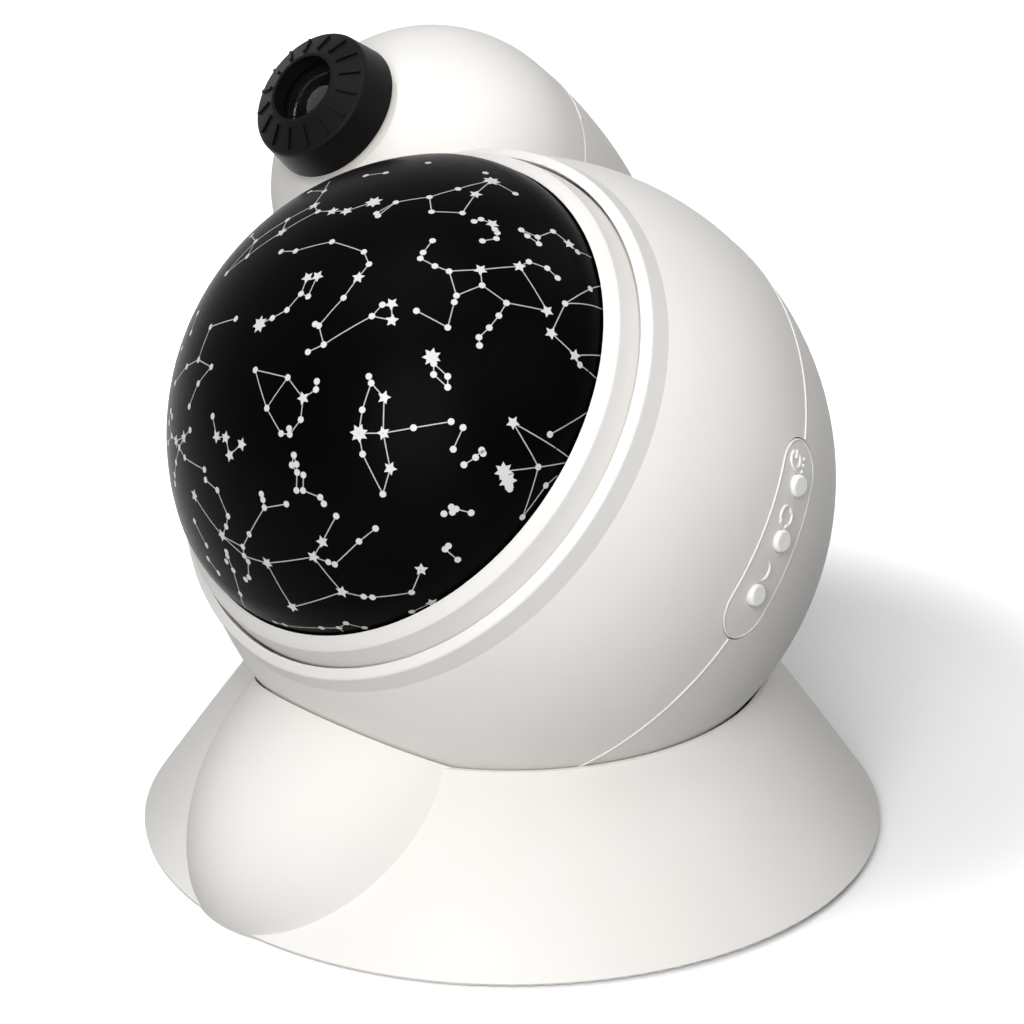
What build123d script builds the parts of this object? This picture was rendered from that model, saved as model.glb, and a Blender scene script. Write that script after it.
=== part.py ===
from build123d import *
from math import acos, atan2, ceil, cos, degrees, hypot, pi, radians, sin, sqrt, tan
import os

os.makedirs("parts", exist_ok=True)

# A home star projector: a ball-shaped head on a flared round base. The head swivels and tilts in a
# cup inside the base. A black star dome turns in the front of the ball behind a white bezel ring,
# and a moon projector with a focus ring sits in an egg-shaped pod at the ball's upper side.
# Millimetres, +Z up. The origin is the middle of the footprint, on the table. The dome faces -Y.

# ---- driving dimensions -------------------------------------------------------------------------
wall = 2.4                    # moulded housing wall
curved_gap = 0.3              # between curved faces that move past each other
running_fit = 0.05            # radial clearance of shafts and sleeves
part_gap = 0.15               # between pieces that drop into each other
screw_hole = 1.3              # pilot radius of every self-tapping screw
screw_head = 2.5
screw_clearance = 0.3         # round a shank in a through hole, and round a head in its counterbore

base_foot_radius = 79.8
base_rim_height = 36.0
base_underside = 0.8          # lower edge of the skirt above the table
base_foot_round = 1.0
base_rim_land = 0.9           # flat land on top of the rim
base_flank_bulge = 0.2        # how far the flank bows out from a straight cone
lobe_radius = 42.5            # front rest: a spheroid that swells out of the skirt
lobe_half_length = 66.6
lobe_centre_y = -15.8
lobe_centre_z = 17.0
lobe_droop = 12.9             # degrees that its long axis falls to the front

ball_radius = 67.8
ball_clearance = 9.5          # from the table to the underside of the ball
ball_rim_gap = 0.5            # between the ball and the base's rim
dome_tilt = 38.84             # degrees that the dome's axis rises above level
tilt_forward = 7.0            # degrees of travel from the rest position, short of the rim on the front rest
tilt_back = 30.0
seam_offset = -6.2            # joint of front and rear shells, along the dome's axis
seam_groove = 0.35            # depth of the fine groove along that joint

dome_radius = 57.5            # star dome: a shallow cap on a short straight skirt
dome_drop = 14.5              # centre of its sphere, below the rim of the ball's opening
dome_skirt = 51.6             # outer radius of the skirt
dome_shoulder = 14.0          # rounding between cap and skirt
dome_wall = 1.8
dome_gap = 0.45               # between the dome and the bezel round it
dome_flange_width = 1.8
dome_flange_height = 2.0
dome_edge_rise = 6.3          # where the bezel's lip ends on the dome, above the opening's rim

bezel_wall = 2.05             # round the dome's flange
bezel_flank_width = 1.1       # of the bezel's outer slope, from its crest down to the groove
bezel_crest_rise = 4.6        # above the opening's rim
bezel_crown = 0.3             # how far the bezel's land bows up
bezel_crest_round = 0.8
bezel_groove_drop = 0.3
bezel_foot_drop = 6.5
opening_gap = 0.6             # between the bezel and the ball's opening
rim_land = 2.2                # width of the raised rim round the opening
rim_land_fall = 0.8           # slope of the rim's land, from inside to outside
rim_flank_width = 1.1         # from the land to where the rim's flank runs out on the ball
rim_inner_round = 0.35
rim_outer_round = 0.7

gear_module = 1.2
gear_inset = 3.6              # pitch circle of the ring gear, inside the dome's skirt
pinion_teeth = 10
pressure_angle = 20.0
tooth_addendum = 0.75         # in modules, stubbed so that the small pinion clears
tooth_dedendum = 1.05
tooth_backlash = 0.25         # off the thickness of each tooth
gear_drop = 11.3              # underside of the teeth, below the opening's rim
flange_height = 2.9
flange_overlap = 0.9          # how far the gear's flange reaches under the opening's ledge

deck_drop = 23.5              # underside of the deck, below the opening's rim
deck_thickness = 2.4
motor_angle = -60.0           # about the dome's axis, from +X
motor_radius = 10.0
motor_length = 9.5
motor_shaft = 1.5

panel_length = 42.7
panel_width = 13.3
panel_angle = 7.75            # middle of the panel about the dome's axis, from +X
panel_gap = 0.25              # between the panel and the shells round it
button_radius = 2.35
button_pitch = 11.85
button_proud = 1.2
button_travel = 0.8

stud_radius = 3.0
slot_gap = 0.4
cup_gap = 1.2                 # ball to cup, room for the friction pads
cup_top = 30.0

pod_side = ball_radius - 6.0  # middle of the pod from the median plane, towards -X
pod_rise = ball_radius - 13.4
pod_forward = 1.4
pod_radius = 36.1
pod_rear_length = 77.0

barrel_radius = 11.8          # lens barrel in the pod
barrel_wall = 2.2
ring_front = 44.3             # edge of the focus ring's face, along the pod's axis from its middle
ring_length = 8.0
ring_wall = 4.0               # round the barrel, at the ring's back
ring_taper = 1.0              # by which the ring's side draws in towards its face
ring_edge_round = 1.0
ring_rise = 3.1               # how far the face slopes up to the lip round its hole
ring_lip_width = 0.7
ring_rib_count = 16
ring_rib_phase = 12.0         # degrees
ring_rib_width = 0.7
ring_rib_height = 0.5
ring_rib_margin = 1.1         # between a rib's outer end and the edge of the face
lens_rim = 2.0                # between the lens and the bore of the barrel


def tenth(value):
    """A derived size, rounded to a tenth of a millimetre."""
    return round(value, 1)


def sphere_height(radius, distance):
    """Height of a sphere's surface over the plane through its middle, at a distance off its axis."""
    return sqrt(radius ** 2 - distance ** 2)


# ---- sizes that follow from them ----------------------------------------------------------------
ball_height = ball_radius + ball_clearance
ball_inner = ball_radius - wall
dome_flange = dome_skirt + dome_flange_width
bezel_groove_radius = dome_flange + dome_gap + bezel_wall
bezel_crest_radius = bezel_groove_radius - bezel_flank_width
opening_radius = bezel_groove_radius + opening_gap
rim_top = tenth(sphere_height(ball_radius, opening_radius))
bezel_groove = rim_top - bezel_groove_drop
bezel_crest = rim_top + bezel_crest_rise
bezel_foot = rim_top - bezel_foot_drop
dome_edge = rim_top + dome_edge_rise
dome_centre = rim_top - dome_drop
ring_teeth = round(2 * (dome_skirt - gear_inset) / gear_module)
gear_bottom = rim_top - gear_drop
flange_bottom = gear_bottom + 1.1
flange_top = flange_bottom + flange_height
flange_radius = opening_radius + flange_overlap
deck_floor = rim_top - deck_drop
deck_top = deck_floor + deck_thickness
barrel_bore = barrel_radius - barrel_wall
barrel_flange = barrel_radius + 3.2
ring_radius = barrel_radius + ring_wall
ring_face_radius = ring_radius - ring_taper
lens_radius = barrel_bore - lens_rim
ring_lip = lens_radius + ring_lip_width
collar_radius = barrel_radius + 2.8

# ---- datum planes -------------------------------------------------------------------------------
tilt = radians(dome_tilt)
ball_centre = Vector(0, 0, ball_height)
dome_direction = Vector(0, -cos(tilt), sin(tilt))
head = Plane(origin=ball_centre, x_dir=(1, 0, 0), z_dir=dome_direction)
head_section = Plane(origin=ball_centre, x_dir=(1, 0, 0), z_dir=-head.y_dir)
dome_axis = Axis(ball_centre, dome_direction)
pod_centre = head.from_local_coords(Vector(-pod_side, pod_rise, pod_forward))
pod = Plane(origin=pod_centre, x_dir=(1, 0, 0), z_dir=dome_direction)
pod_section = Plane(origin=pod_centre, x_dir=dome_direction, z_dir=(1, 0, 0))
pod_axis = Axis(pod_centre, dome_direction)
panel_turn = radians(panel_angle)
panel_out = head.x_dir * cos(panel_turn) + head.y_dir * sin(panel_turn)
panel_along = head.y_dir * cos(panel_turn) - head.x_dir * sin(panel_turn)
panel = Plane(origin=ball_centre + dome_direction * seam_offset, x_dir=panel_along, z_dir=panel_out)


def disc(plane, radius, start, end, hole=0.0, mode=Mode.ADD):
    """A round plate, ring or bore between two heights over a plane."""
    with BuildSketch(plane.offset(start)) as outline:
        Circle(radius)
        if hole > 0:
            Circle(hole, mode=Mode.SUBTRACT)
    extrude(outline.sketch, amount=end - start, mode=mode)


def block(plane, x_range, y_range, start, end, mode=Mode.ADD):
    """A rectangular block between two heights over a plane."""
    with BuildSketch(plane.offset(start)) as outline:
        with Locations(((x_range[0] + x_range[1]) / 2, (y_range[0] + y_range[1]) / 2)):
            Rectangle(x_range[1] - x_range[0], y_range[1] - y_range[0])
    extrude(outline.sketch, amount=end - start, mode=mode)


def turned(plane, axis, points, mode=Mode.ADD):
    """A turned form: a closed outline of (radius, height) corners, revolved about its axis."""
    with BuildSketch(plane) as outline:
        with BuildLine():
            Polyline(*points, close=True)
        make_face()
    revolve(outline.sketch, axis=axis, mode=mode)


def around(plane, radius, angle, height=0.0):
    """The plane moved out to a polar place, keeping its direction."""
    place = Vector(radius * cos(radians(angle)), radius * sin(radians(angle)), height)
    return Plane(origin=plane.from_local_coords(place), x_dir=plane.x_dir, z_dir=plane.z_dir)


def moved(plane, x, y):
    """The plane shifted along its own x and y."""
    return Plane(origin=plane.from_local_coords(Vector(x, y, 0)), x_dir=plane.x_dir, z_dir=plane.z_dir)


def write(builder, name):
    """Label a finished sub-part and write it to its own file."""
    builder.part.label = name
    export_step(builder.part, "parts/" + name + ".step")


# ---- base: skirt, front rest, cover, pad --------------------------------------------------------
rim_radius = sphere_height(ball_radius + ball_rim_gap, ball_height - base_rim_height)
rim_outer = rim_radius + base_rim_land
flank_foot = (base_foot_radius, base_underside + base_foot_round)
flank_angle = atan2(base_rim_height - flank_foot[1], base_foot_radius - rim_outer)
flank_shift = wall / sin(flank_angle)


def skirt_form(inset, foot_round):
    """The flared skirt, filled, with its flank drawn in sideways by inset."""
    foot = base_foot_radius - inset
    rim = rim_outer - inset
    middle_height = (flank_foot[1] + base_rim_height) / 2
    middle = (foot + rim) / 2 + base_flank_bulge
    with BuildPart() as form:
        with BuildSketch(Plane.XZ) as outline:
            with BuildLine():
                Polyline((foot, flank_foot[1]), (foot, base_underside), (0, base_underside),
                         (0, base_rim_height), (rim, base_rim_height))
                ThreePointArc((foot, flank_foot[1]), (middle, middle_height), (rim, base_rim_height))
            make_face()
        revolve(axis=Axis.Z)
        if foot_round > 0:
            fillet(form.edges().filter_by(GeomType.CIRCLE).group_by(Axis.Z)[0], foot_round)
    return form.part


def lobe_form(inset, bottom):
    """The front rest: a spheroid turned about its long axis, which falls to the front."""
    droop = radians(lobe_droop)
    forward = Vector(0, -cos(droop), -sin(droop))
    middle = Vector(0, lobe_centre_y, lobe_centre_z)
    section = Plane(origin=middle, x_dir=forward, z_dir=(1, 0, 0))
    length = lobe_half_length - inset
    width = lobe_radius - inset
    with BuildPart() as form:
        with BuildSketch(section) as outline:
            with BuildLine():
                EllipticalCenterArc((0, 0), length, width, arc_size=180)
                Line((-length, 0), (length, 0))
            make_face()
        revolve(axis=Axis(middle, forward))
        split(bisect_by=Plane.XY.offset(bottom), keep=Keep.TOP)
    return form.part


def flank_height(radius):
    """Height of the skirt's outer flank at a distance from the middle, taken as a straight cone."""
    return flank_foot[1] + (base_foot_radius - radius) * tan(flank_angle)


cover_thickness = 2.2
cover_top = base_underside + cover_thickness
cover_gap = ceil(10 * (cover_top - flank_foot[1]) / tan(flank_angle)) / 10    # clears the skirt's slope
cover_radius = base_foot_radius - flank_shift - cover_gap
pad_outer = base_foot_radius - 7.8
pad_inner = pad_outer - 5.5
pad_sink = 0.6                # how deep the pad sits in the cover
cover_screw_circle = pad_inner - 4.5
cover_screw_sink = 1.2        # counterbore for the heads
cover_boss_radius = 3.6
cover_boss_top = tenth(flank_height(cover_screw_circle + cover_boss_radius) + 0.4)   # reaches the flank
cover_pilot_top = cover_boss_top - 6.0
cover_screw_length = cover_pilot_top - base_underside - cover_screw_sink - 4.0
cover_angles = (45, 135, 225, 315)
hub_rise = 2.1                # boss round the pivot stud, on the cover
hub_wall = 2.2
hub_recess = 14.0
hub_top = cover_top + hub_rise

with BuildPart() as base_shell:
    add(skirt_form(0, base_foot_round - 0.1))
    add(lobe_form(0, base_underside))
    add(skirt_form(flank_shift, 0), mode=Mode.SUBTRACT)
    add(lobe_form(wall, cover_top), mode=Mode.SUBTRACT)
    with Locations(ball_centre):
        Sphere(ball_radius + ball_rim_gap, mode=Mode.SUBTRACT)
    for angle in cover_angles:
        boss = around(Plane.XY, cover_screw_circle, angle)
        disc(boss, cover_boss_radius, cover_top, cover_boss_top)
        disc(boss, screw_hole, cover_top, cover_pilot_top, mode=Mode.SUBTRACT)
write(base_shell, "base_shell")

with BuildPart() as base_cover:
    disc(Plane.XY, cover_radius, base_underside, cover_top)
    disc(Plane.XY, hub_recess + hub_wall, cover_top, hub_top)
    disc(Plane.XY, hub_recess, base_underside, cover_top, mode=Mode.SUBTRACT)
    disc(Plane.XY, stud_radius + running_fit, cover_top, hub_top, mode=Mode.SUBTRACT)
    disc(Plane.XY, pad_outer, base_underside, base_underside + pad_sink, hole=pad_inner,
         mode=Mode.SUBTRACT)
    for angle in cover_angles:
        place = around(Plane.XY, cover_screw_circle, angle)
        disc(place, screw_hole + screw_clearance, base_underside, cover_top, mode=Mode.SUBTRACT)
        disc(place, screw_head + screw_clearance, base_underside, base_underside + cover_screw_sink,
             mode=Mode.SUBTRACT)
write(base_cover, "base_cover")

with BuildPart() as foot_pad:
    disc(Plane.XY, pad_outer - part_gap, 0, base_underside + pad_sink, hole=pad_inner + part_gap)
    fillet(foot_pad.edges().group_by(Axis.Z)[0], 0.4)
write(foot_pad, "foot_pad")


def screw(plane, seat, shank, head_side=-1, radius=screw_hole, head_radius=screw_head, head=1.1):
    """A pan-head screw: its head under the seat height, its shank on the other side."""
    disc(plane, head_radius, seat, seat + head_side * head)
    disc(plane, radius - running_fit, seat, seat - head_side * shank)


with BuildPart() as cover_screws:
    for angle in cover_angles:
        screw(around(Plane.XY, cover_screw_circle, angle), base_underside + cover_screw_sink,
              cover_screw_length, head=1.0)
write(cover_screws, "cover_screws")

# ---- swivel cup and tilt clamp ------------------------------------------------------------------
cup_inner = ball_radius + cup_gap
cup_outer = cup_inner + wall
cup_seat = ball_height - cup_outer - 0.2
cup_pad_radius = 12.0         # flat seat in the middle of the cup
washer_radius = cup_pad_radius - 1.0

with BuildPart() as thrust_washer:
    disc(Plane.XY, washer_radius, hub_top, cup_seat, hole=stud_radius + running_fit)
write(thrust_washer, "thrust_washer")

with BuildPart() as swivel_cup:
    with Locations(ball_centre):
        Sphere(cup_outer)
    disc(Plane.XY, cup_pad_radius, cup_seat, cup_seat + wall)
    with Locations(ball_centre):
        Sphere(cup_inner, mode=Mode.SUBTRACT)
    split(bisect_by=Plane.XY.offset(cup_top), keep=Keep.BOTTOM)
    disc(Plane.XY, stud_radius + running_fit, 0, cup_top, mode=Mode.SUBTRACT)
write(swivel_cup, "swivel_cup")

friction_pad_radius = 6.0
friction_pad_turns = (90, 210, 330)
friction_pad_drop = 52.0      # degrees below level, seen from the middle of the ball

with BuildPart() as friction_pads:
    for turn in friction_pad_turns:
        drop = radians(friction_pad_drop)
        outward = Vector(cos(drop) * cos(radians(turn)), cos(drop) * sin(radians(turn)), -sin(drop))
        disc(Plane(origin=ball_centre, z_dir=outward), friction_pad_radius, ball_inner, cup_outer)
    with Locations(ball_centre):
        Sphere(cup_inner, mode=Mode.INTERSECT)
    with Locations(ball_centre):
        Sphere(ball_radius + curved_gap, mode=Mode.SUBTRACT)
write(friction_pads, "friction_pads")

saddle_radius = 9.0
saddle_height = 4.2           # over the lowest point inside the ball
saddle_top = ball_height - ball_inner + saddle_height
disc_spring_radius = 7.2
disc_spring_height = 1.1
disc_spring_sheet = 0.5
disc_spring_count = 4
springs_top = saddle_top + disc_spring_count * disc_spring_height
nut_width = 10.0
nut_height = 5.0
nut_top = springs_top + nut_height
stud_head_radius = 7.0
stud_head_height = 1.9
stud_end = 1.5                # beyond the nut
stud_chamfer = 0.6

with BuildPart() as pivot_stud:
    disc(Plane.XY, stud_head_radius, cover_top - stud_head_height, cover_top - running_fit)
    disc(Plane.XY, stud_radius, cover_top - running_fit, nut_top + stud_end)
    chamfer(pivot_stud.edges().group_by(Axis.Z)[-1], stud_chamfer)
write(pivot_stud, "pivot_stud")

with BuildPart() as tilt_saddle:
    disc(Plane.XY, saddle_radius, ball_height - ball_radius, saddle_top)
    with Locations(ball_centre):
        Sphere(ball_inner - curved_gap, mode=Mode.INTERSECT)
    disc(Plane.XY, stud_radius + running_fit, 0, saddle_top, mode=Mode.SUBTRACT)
write(tilt_saddle, "tilt_saddle")

with BuildPart() as spring_washers:
    for index in range(disc_spring_count):
        low = saddle_top + index * disc_spring_height
        dish = disc_spring_height - disc_spring_sheet - running_fit
        inner = low + (dish if index % 2 == 0 else 0.0)
        outer = low + (0.0 if index % 2 == 0 else dish)
        turned(Plane.XZ, Axis.Z, [(stud_radius + 0.2, inner), (disc_spring_radius, outer),
                                  (disc_spring_radius, outer + disc_spring_sheet),
                                  (stud_radius + 0.2, inner + disc_spring_sheet)])
write(spring_washers, "spring_washers")

with BuildPart() as tilt_nut:
    with BuildSketch(Plane.XY.offset(springs_top)):
        RegularPolygon(nut_width / 2, 6, major_radius=False)
        Circle(stud_radius + running_fit, mode=Mode.SUBTRACT)
    extrude(amount=nut_top - springs_top)
write(tilt_nut, "tilt_nut")

# ---- ball and pod shells ------------------------------------------------------------------------
seam = head.offset(seam_offset)
rim_land_radius = opening_radius + rim_land
rim_spread = rim_land_radius + rim_flank_width
ledge_bottom = flange_top + curved_gap
ledge_width = 2.2
shell_boss_circle = ball_inner - 6.1
shell_boss_radius = 4.2
shell_boss_angles = (-45, -135, 62, 186)
shell_boss_top = seam_offset + 15.2
shell_boss_foot = seam_offset - 37.8
shell_pilot_top = seam_offset + 12.2
shell_screw_seat = seam_offset - 11.8
shell_screw_length = 22.0
spoke_width = 2.4
deck_radius = tenth(sphere_height(ball_inner, deck_floor) - 1.5)
deck_boss_circle = deck_radius - 3.0
deck_boss_radius = 2.7
deck_boss_angles = (35, 85, 178, 232, 300)
deck_boss_top = flange_bottom - 0.8
deck_pilot_depth = 8.0
deck_screw_length = 9.0
collar_front = ring_front - ring_length - 0.4
mount_face = tenth(sphere_height(pod_radius - wall, barrel_flange) - 0.7)     # the barrel's seat in the pod
mount_seat_radius = barrel_flange + 0.8
mount_bore = barrel_radius + 0.4
panel_straight = panel_length - panel_width
panel_cut_depth = 27.8        # of the panel's opening, from the ball's surface inwards
battery_v = 20.0              # cell's axis above the dome's axis
battery_w = 37.8 - ball_radius
battery_rest = battery_w - 11.0
rib_width = 2.4
usb_v = 12.0
usb_width = 8.94
usb_height = 3.2
usb_mouth_gap = 0.4
socket_front = 2.2 - ball_radius
socket_depth = 7.3
board_thickness = 1.6
rail_place = 7.2
rail_width = 3.2
rail_height = 4.0


def head_form(inset):
    """The ball and the pod as one filled form, drawn in by inset."""
    front = pod_radius - inset
    rear = pod_rear_length - inset
    with BuildPart() as form:
        with Locations(ball_centre):
            Sphere(ball_radius - inset)
        with BuildSketch(pod_section) as outline:
            with BuildLine():
                EllipticalCenterArc((0, 0), front, front, arc_size=90)
                EllipticalCenterArc((0, 0), rear, front, start_angle=90, arc_size=90)
                Line((-rear, 0), (front, 0))
            make_face()
        revolve(axis=pod_axis)
    return form.part


def stadium(plane, start, end, grow, mode=Mode.ADD):
    """The panel's outline with round ends, grown by a margin, between two heights."""
    with BuildSketch(plane.offset(start)) as outline:
        SlotCenterToCenter(panel_straight, panel_width + 2 * grow)
    extrude(outline.sketch, amount=end - start, mode=mode)


def opening_rim():
    """The edge of the front opening: a rim with a narrow land outside, and a ledge on its inner end."""
    with BuildSketch(head_section) as outline:
        with BuildLine():
            Polyline((opening_radius, ledge_bottom), (opening_radius, rim_top),
                     (rim_land_radius, rim_top - rim_land_fall),
                     (rim_spread, sphere_height(ball_radius - 0.1 * wall, rim_spread)),
                     (opening_radius + ledge_width, ledge_bottom), close=True)
        make_face()
        fillet(outline.vertices().sort_by(Axis.Y)[-2], rim_outer_round)
        fillet(outline.vertices().sort_by(Axis.Y)[-1], rim_inner_round)
    revolve(outline.sketch, axis=dome_axis)


def groove_seam():
    """Cut a fine V all round the ball and the pod where the front and rear shells meet."""
    deep = seam_groove
    proud = 1.5 * seam_groove
    ball_corners = [(ball_radius - deep, seam_offset), (ball_radius + deep, seam_offset + proud),
                    (ball_radius + deep, seam_offset - proud)]
    turned(head_section, dome_axis, ball_corners, mode=Mode.SUBTRACT)
    level = seam_offset - pod_forward
    pod_skin = pod_radius * sqrt(1 - (level / pod_rear_length) ** 2)
    pod_corners = [(level, pod_skin - deep), (level + proud, pod_skin + deep),
                   (level - proud, pod_skin + deep)]
    turned(pod_section, pod_axis, pod_corners, mode=Mode.SUBTRACT)


with BuildPart() as front_shell:
    add(head_form(0))
    disc(pod, collar_radius, 0, collar_front)
    split(bisect_by=seam, keep=Keep.TOP)
    add(head_form(wall), mode=Mode.SUBTRACT)
    # front opening, and its raised rim with the ledge that holds the drive gear's flange
    disc(head, opening_radius, deck_floor, ball_radius, mode=Mode.SUBTRACT)
    opening_rim()
    # bosses for the deck, and for the shell screws with a rib to the wall
    with BuildPart(mode=Mode.PRIVATE) as front_bosses:
        for angle in deck_boss_angles:
            disc(around(head, deck_boss_circle, angle), deck_boss_radius, deck_top, deck_boss_top)
        for angle in shell_boss_angles:
            place = around(head, shell_boss_circle, angle)
            disc(place, shell_boss_radius - 1, seam_offset, shell_boss_top)
            spoke = Plane(origin=ball_centre, x_dir=place.origin - ball_centre, z_dir=dome_direction)
            block(spoke, (shell_boss_circle, ball_radius), (-spoke_width / 2, spoke_width / 2), seam_offset,
                  shell_boss_top)
        with Locations(ball_centre):
            Sphere(ball_radius - wall / 2, mode=Mode.INTERSECT)
    add(front_bosses.part)
    for angle in deck_boss_angles:
        disc(around(head, deck_boss_circle, angle), screw_hole, deck_top, deck_top + deck_pilot_depth,
             mode=Mode.SUBTRACT)
    for angle in shell_boss_angles:
        disc(around(head, shell_boss_circle, angle), screw_hole, seam_offset, shell_pilot_top,
             mode=Mode.SUBTRACT)
    # seat of the lens barrel in the pod, with its bore through the collar
    disc(pod, mount_seat_radius, mount_face, sphere_height(pod_radius - wall / 2, mount_seat_radius))
    disc(pod, mount_bore, mount_face - 4, ring_front, mode=Mode.SUBTRACT)
    stadium(panel, ball_radius - panel_cut_depth, ball_radius + wall, panel_gap, mode=Mode.SUBTRACT)
    groove_seam()
write(front_shell, "front_shell")

slot_width = 2 * (stud_radius + slot_gap)
slot_margin = degrees(0.4 / ball_radius)
slot_front = tilt_forward + slot_margin
slot_rear = tilt_back + slot_margin
slot_reach = ball_radius + 20


def below(angle):
    """Direction at an angle from straight down towards +Y, in the median plane."""
    return Vector(0, sin(radians(angle)), -cos(radians(angle)))


with BuildPart() as rear_shell:
    add(head_form(0))
    split(bisect_by=seam, keep=Keep.BOTTOM)
    add(head_form(wall), mode=Mode.SUBTRACT)
    # bosses for the shell screws, counterbored from behind
    with BuildPart(mode=Mode.PRIVATE) as bosses:
        for angle in shell_boss_angles:
            disc(around(head, shell_boss_circle, angle), shell_boss_radius, shell_boss_foot, seam_offset)
        with Locations(ball_centre):
            Sphere(ball_radius - wall / 2, mode=Mode.INTERSECT)
    add(bosses.part)
    for angle in shell_boss_angles:
        place = around(head, shell_boss_circle, angle)
        disc(place, screw_hole + 0.2, shell_boss_foot, seam_offset, mode=Mode.SUBTRACT)
        disc(place, screw_head + screw_clearance, shell_boss_foot, shell_screw_seat, mode=Mode.SUBTRACT)
    # slot that the pivot stud runs along as the ball tilts
    with BuildSketch(Plane.YZ.offset(-slot_width / 2)) as sector:
        with BuildLine():
            Polyline((0, ball_height), tuple(below(-slot_front) * slot_reach + ball_centre)[1:],
                     tuple(below(slot_rear) * slot_reach + ball_centre)[1:], close=True)
        make_face()
    extrude(sector.sketch, amount=slot_width, mode=Mode.SUBTRACT)
    for angle in (-slot_front, slot_rear):
        disc(Plane(origin=ball_centre, z_dir=below(angle)), slot_width / 2, ball_inner - wall, slot_reach,
             mode=Mode.SUBTRACT)
    # ribs under the battery holder, and rails of the charging board
    with BuildPart(mode=Mode.PRIVATE) as ribs:
        for side in (-1, 1):
            block(head, (side * 20 - rib_width / 2, side * 20 + rib_width / 2),
                  (battery_v - 10, battery_v + 10), -ball_radius, battery_rest)
            block(head, (side * rail_place - rail_width / 2, side * rail_place + rail_width / 2),
                  (usb_v - board_thickness - rail_height, usb_v - board_thickness), -ball_radius,
                  socket_front + 13.6)
        with Locations(ball_centre):
            Sphere(ball_radius - wall / 2, mode=Mode.INTERSECT)
    add(ribs.part)
    with BuildSketch(head.offset(-ball_radius)) as socket_mouth:
        with Locations((0, usb_v + usb_height / 2)):
            SlotOverall(usb_width + 2 * usb_mouth_gap, usb_height + 2 * usb_mouth_gap)
    extrude(socket_mouth.sketch, amount=socket_depth, mode=Mode.SUBTRACT)
    stadium(panel, ball_radius - panel_cut_depth, ball_radius + wall, panel_gap, mode=Mode.SUBTRACT)
    groove_seam()
write(rear_shell, "rear_shell")

with BuildPart() as shell_screws:
    for angle in shell_boss_angles:
        screw(around(head, shell_boss_circle, angle), shell_screw_seat, shell_screw_length, head=1.8)
write(shell_screws, "shell_screws")

# ---- star dome, bezel ring and drive gear -------------------------------------------------------
pitch_radius = gear_module * ring_teeth / 2
pinion_pitch = gear_module * pinion_teeth / 2
pinion_circle = pitch_radius - pinion_pitch
dome_foot = bezel_foot + 0.2


def involute(angle):
    """The involute function, tan(a) - a."""
    return tan(angle) - angle


def tooth_outline(teeth, low, high, thin):
    """Corners of one involute tooth of a gear, standing on the X axis, from radius low to high."""
    pitch = gear_module * teeth / 2
    base = pitch * cos(radians(pressure_angle))
    half_pitch = pi / (2 * teeth) - thin / (2 * pitch)
    flank = []
    for step in range(4):
        radius = low + (high - low) * step / 3
        roll = acos(min(1.0, base / radius))
        flank.append((radius, half_pitch + involute(radians(pressure_angle)) - involute(roll)))
    upper = [(radius * cos(turn), radius * sin(turn)) for radius, turn in flank]
    lower = [(x, -y) for x, y in reversed(upper)]
    return upper + lower


def dome_form(inset):
    """The dome, filled and drawn in by inset: a spherical cap that rounds into a straight skirt."""
    cap = dome_radius - inset
    skirt = dome_skirt - inset
    corner = sphere_height(cap, skirt) + dome_centre
    with BuildPart() as form:
        with BuildSketch(head_section) as outline:
            with BuildLine():
                Polyline((skirt, corner), (skirt, dome_foot), (0, dome_foot), (0, dome_centre + cap))
                RadiusArc((skirt, corner), (0, dome_centre + cap), -cap)
            make_face()
            fillet(outline.vertices().group_by(Axis.X)[-1].sort_by(Axis.Y)[-1], dome_shoulder - inset)
        revolve(axis=dome_axis)
    return form.part


with BuildPart() as star_dome:
    add(dome_form(0))
    disc(head, dome_flange, dome_foot, dome_foot + dome_flange_height)
    add(dome_form(dome_wall), mode=Mode.SUBTRACT)
write(star_dome, "star_dome")

bezel_bore = dome_skirt + dome_gap
bezel_rebate = dome_flange + dome_gap
rebate_top = dome_foot + dome_flange_height + part_gap

with BuildPart() as bezel_ring:
    with BuildSketch(head_section) as bezel_outline:
        with BuildLine():
            crown_middle = ((bezel_bore + bezel_crest_radius) / 2,
                            (dome_edge + bezel_crest) / 2 + bezel_crown)
            ThreePointArc((bezel_bore, dome_edge), crown_middle, (bezel_crest_radius, bezel_crest))
            Polyline((bezel_crest_radius, bezel_crest), (bezel_groove_radius, bezel_groove),
                     (bezel_groove_radius, bezel_foot), (bezel_rebate, bezel_foot),
                     (bezel_rebate, rebate_top), (bezel_bore, rebate_top), (bezel_bore, dome_edge))
        make_face()
        fillet(bezel_outline.vertices().sort_by(Axis.Y)[-2], bezel_crest_round)
    revolve(axis=dome_axis)
write(bezel_ring, "bezel_ring")

gear_body = bezel_groove_radius - 2.7
gear_tip = pitch_radius - tooth_addendum * gear_module

with BuildPart() as drive_gear:
    turned(head_section, dome_axis, [(gear_tip, gear_bottom), (gear_body, gear_bottom),
                                     (gear_body, flange_bottom), (flange_radius, flange_bottom),
                                     (flange_radius, flange_top), (bezel_groove_radius, flange_top),
                                     (bezel_groove_radius, bezel_foot), (gear_tip, bezel_foot)])
    with BuildSketch(head.offset(gear_bottom)) as spaces:
        with PolarLocations(0, ring_teeth, start_angle=motor_angle + 180 / ring_teeth):
            with BuildLine(mode=Mode.PRIVATE) as space_line:
                Polyline(*tooth_outline(ring_teeth, pitch_radius - (tooth_addendum + 0.2) * gear_module,
                                        pitch_radius + tooth_dedendum * gear_module, -tooth_backlash),
                         close=True)
            space_face = make_face(space_line.line, mode=Mode.PRIVATE)
            add(space_face)
    extrude(amount=bezel_foot - gear_bottom, mode=Mode.SUBTRACT)
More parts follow.
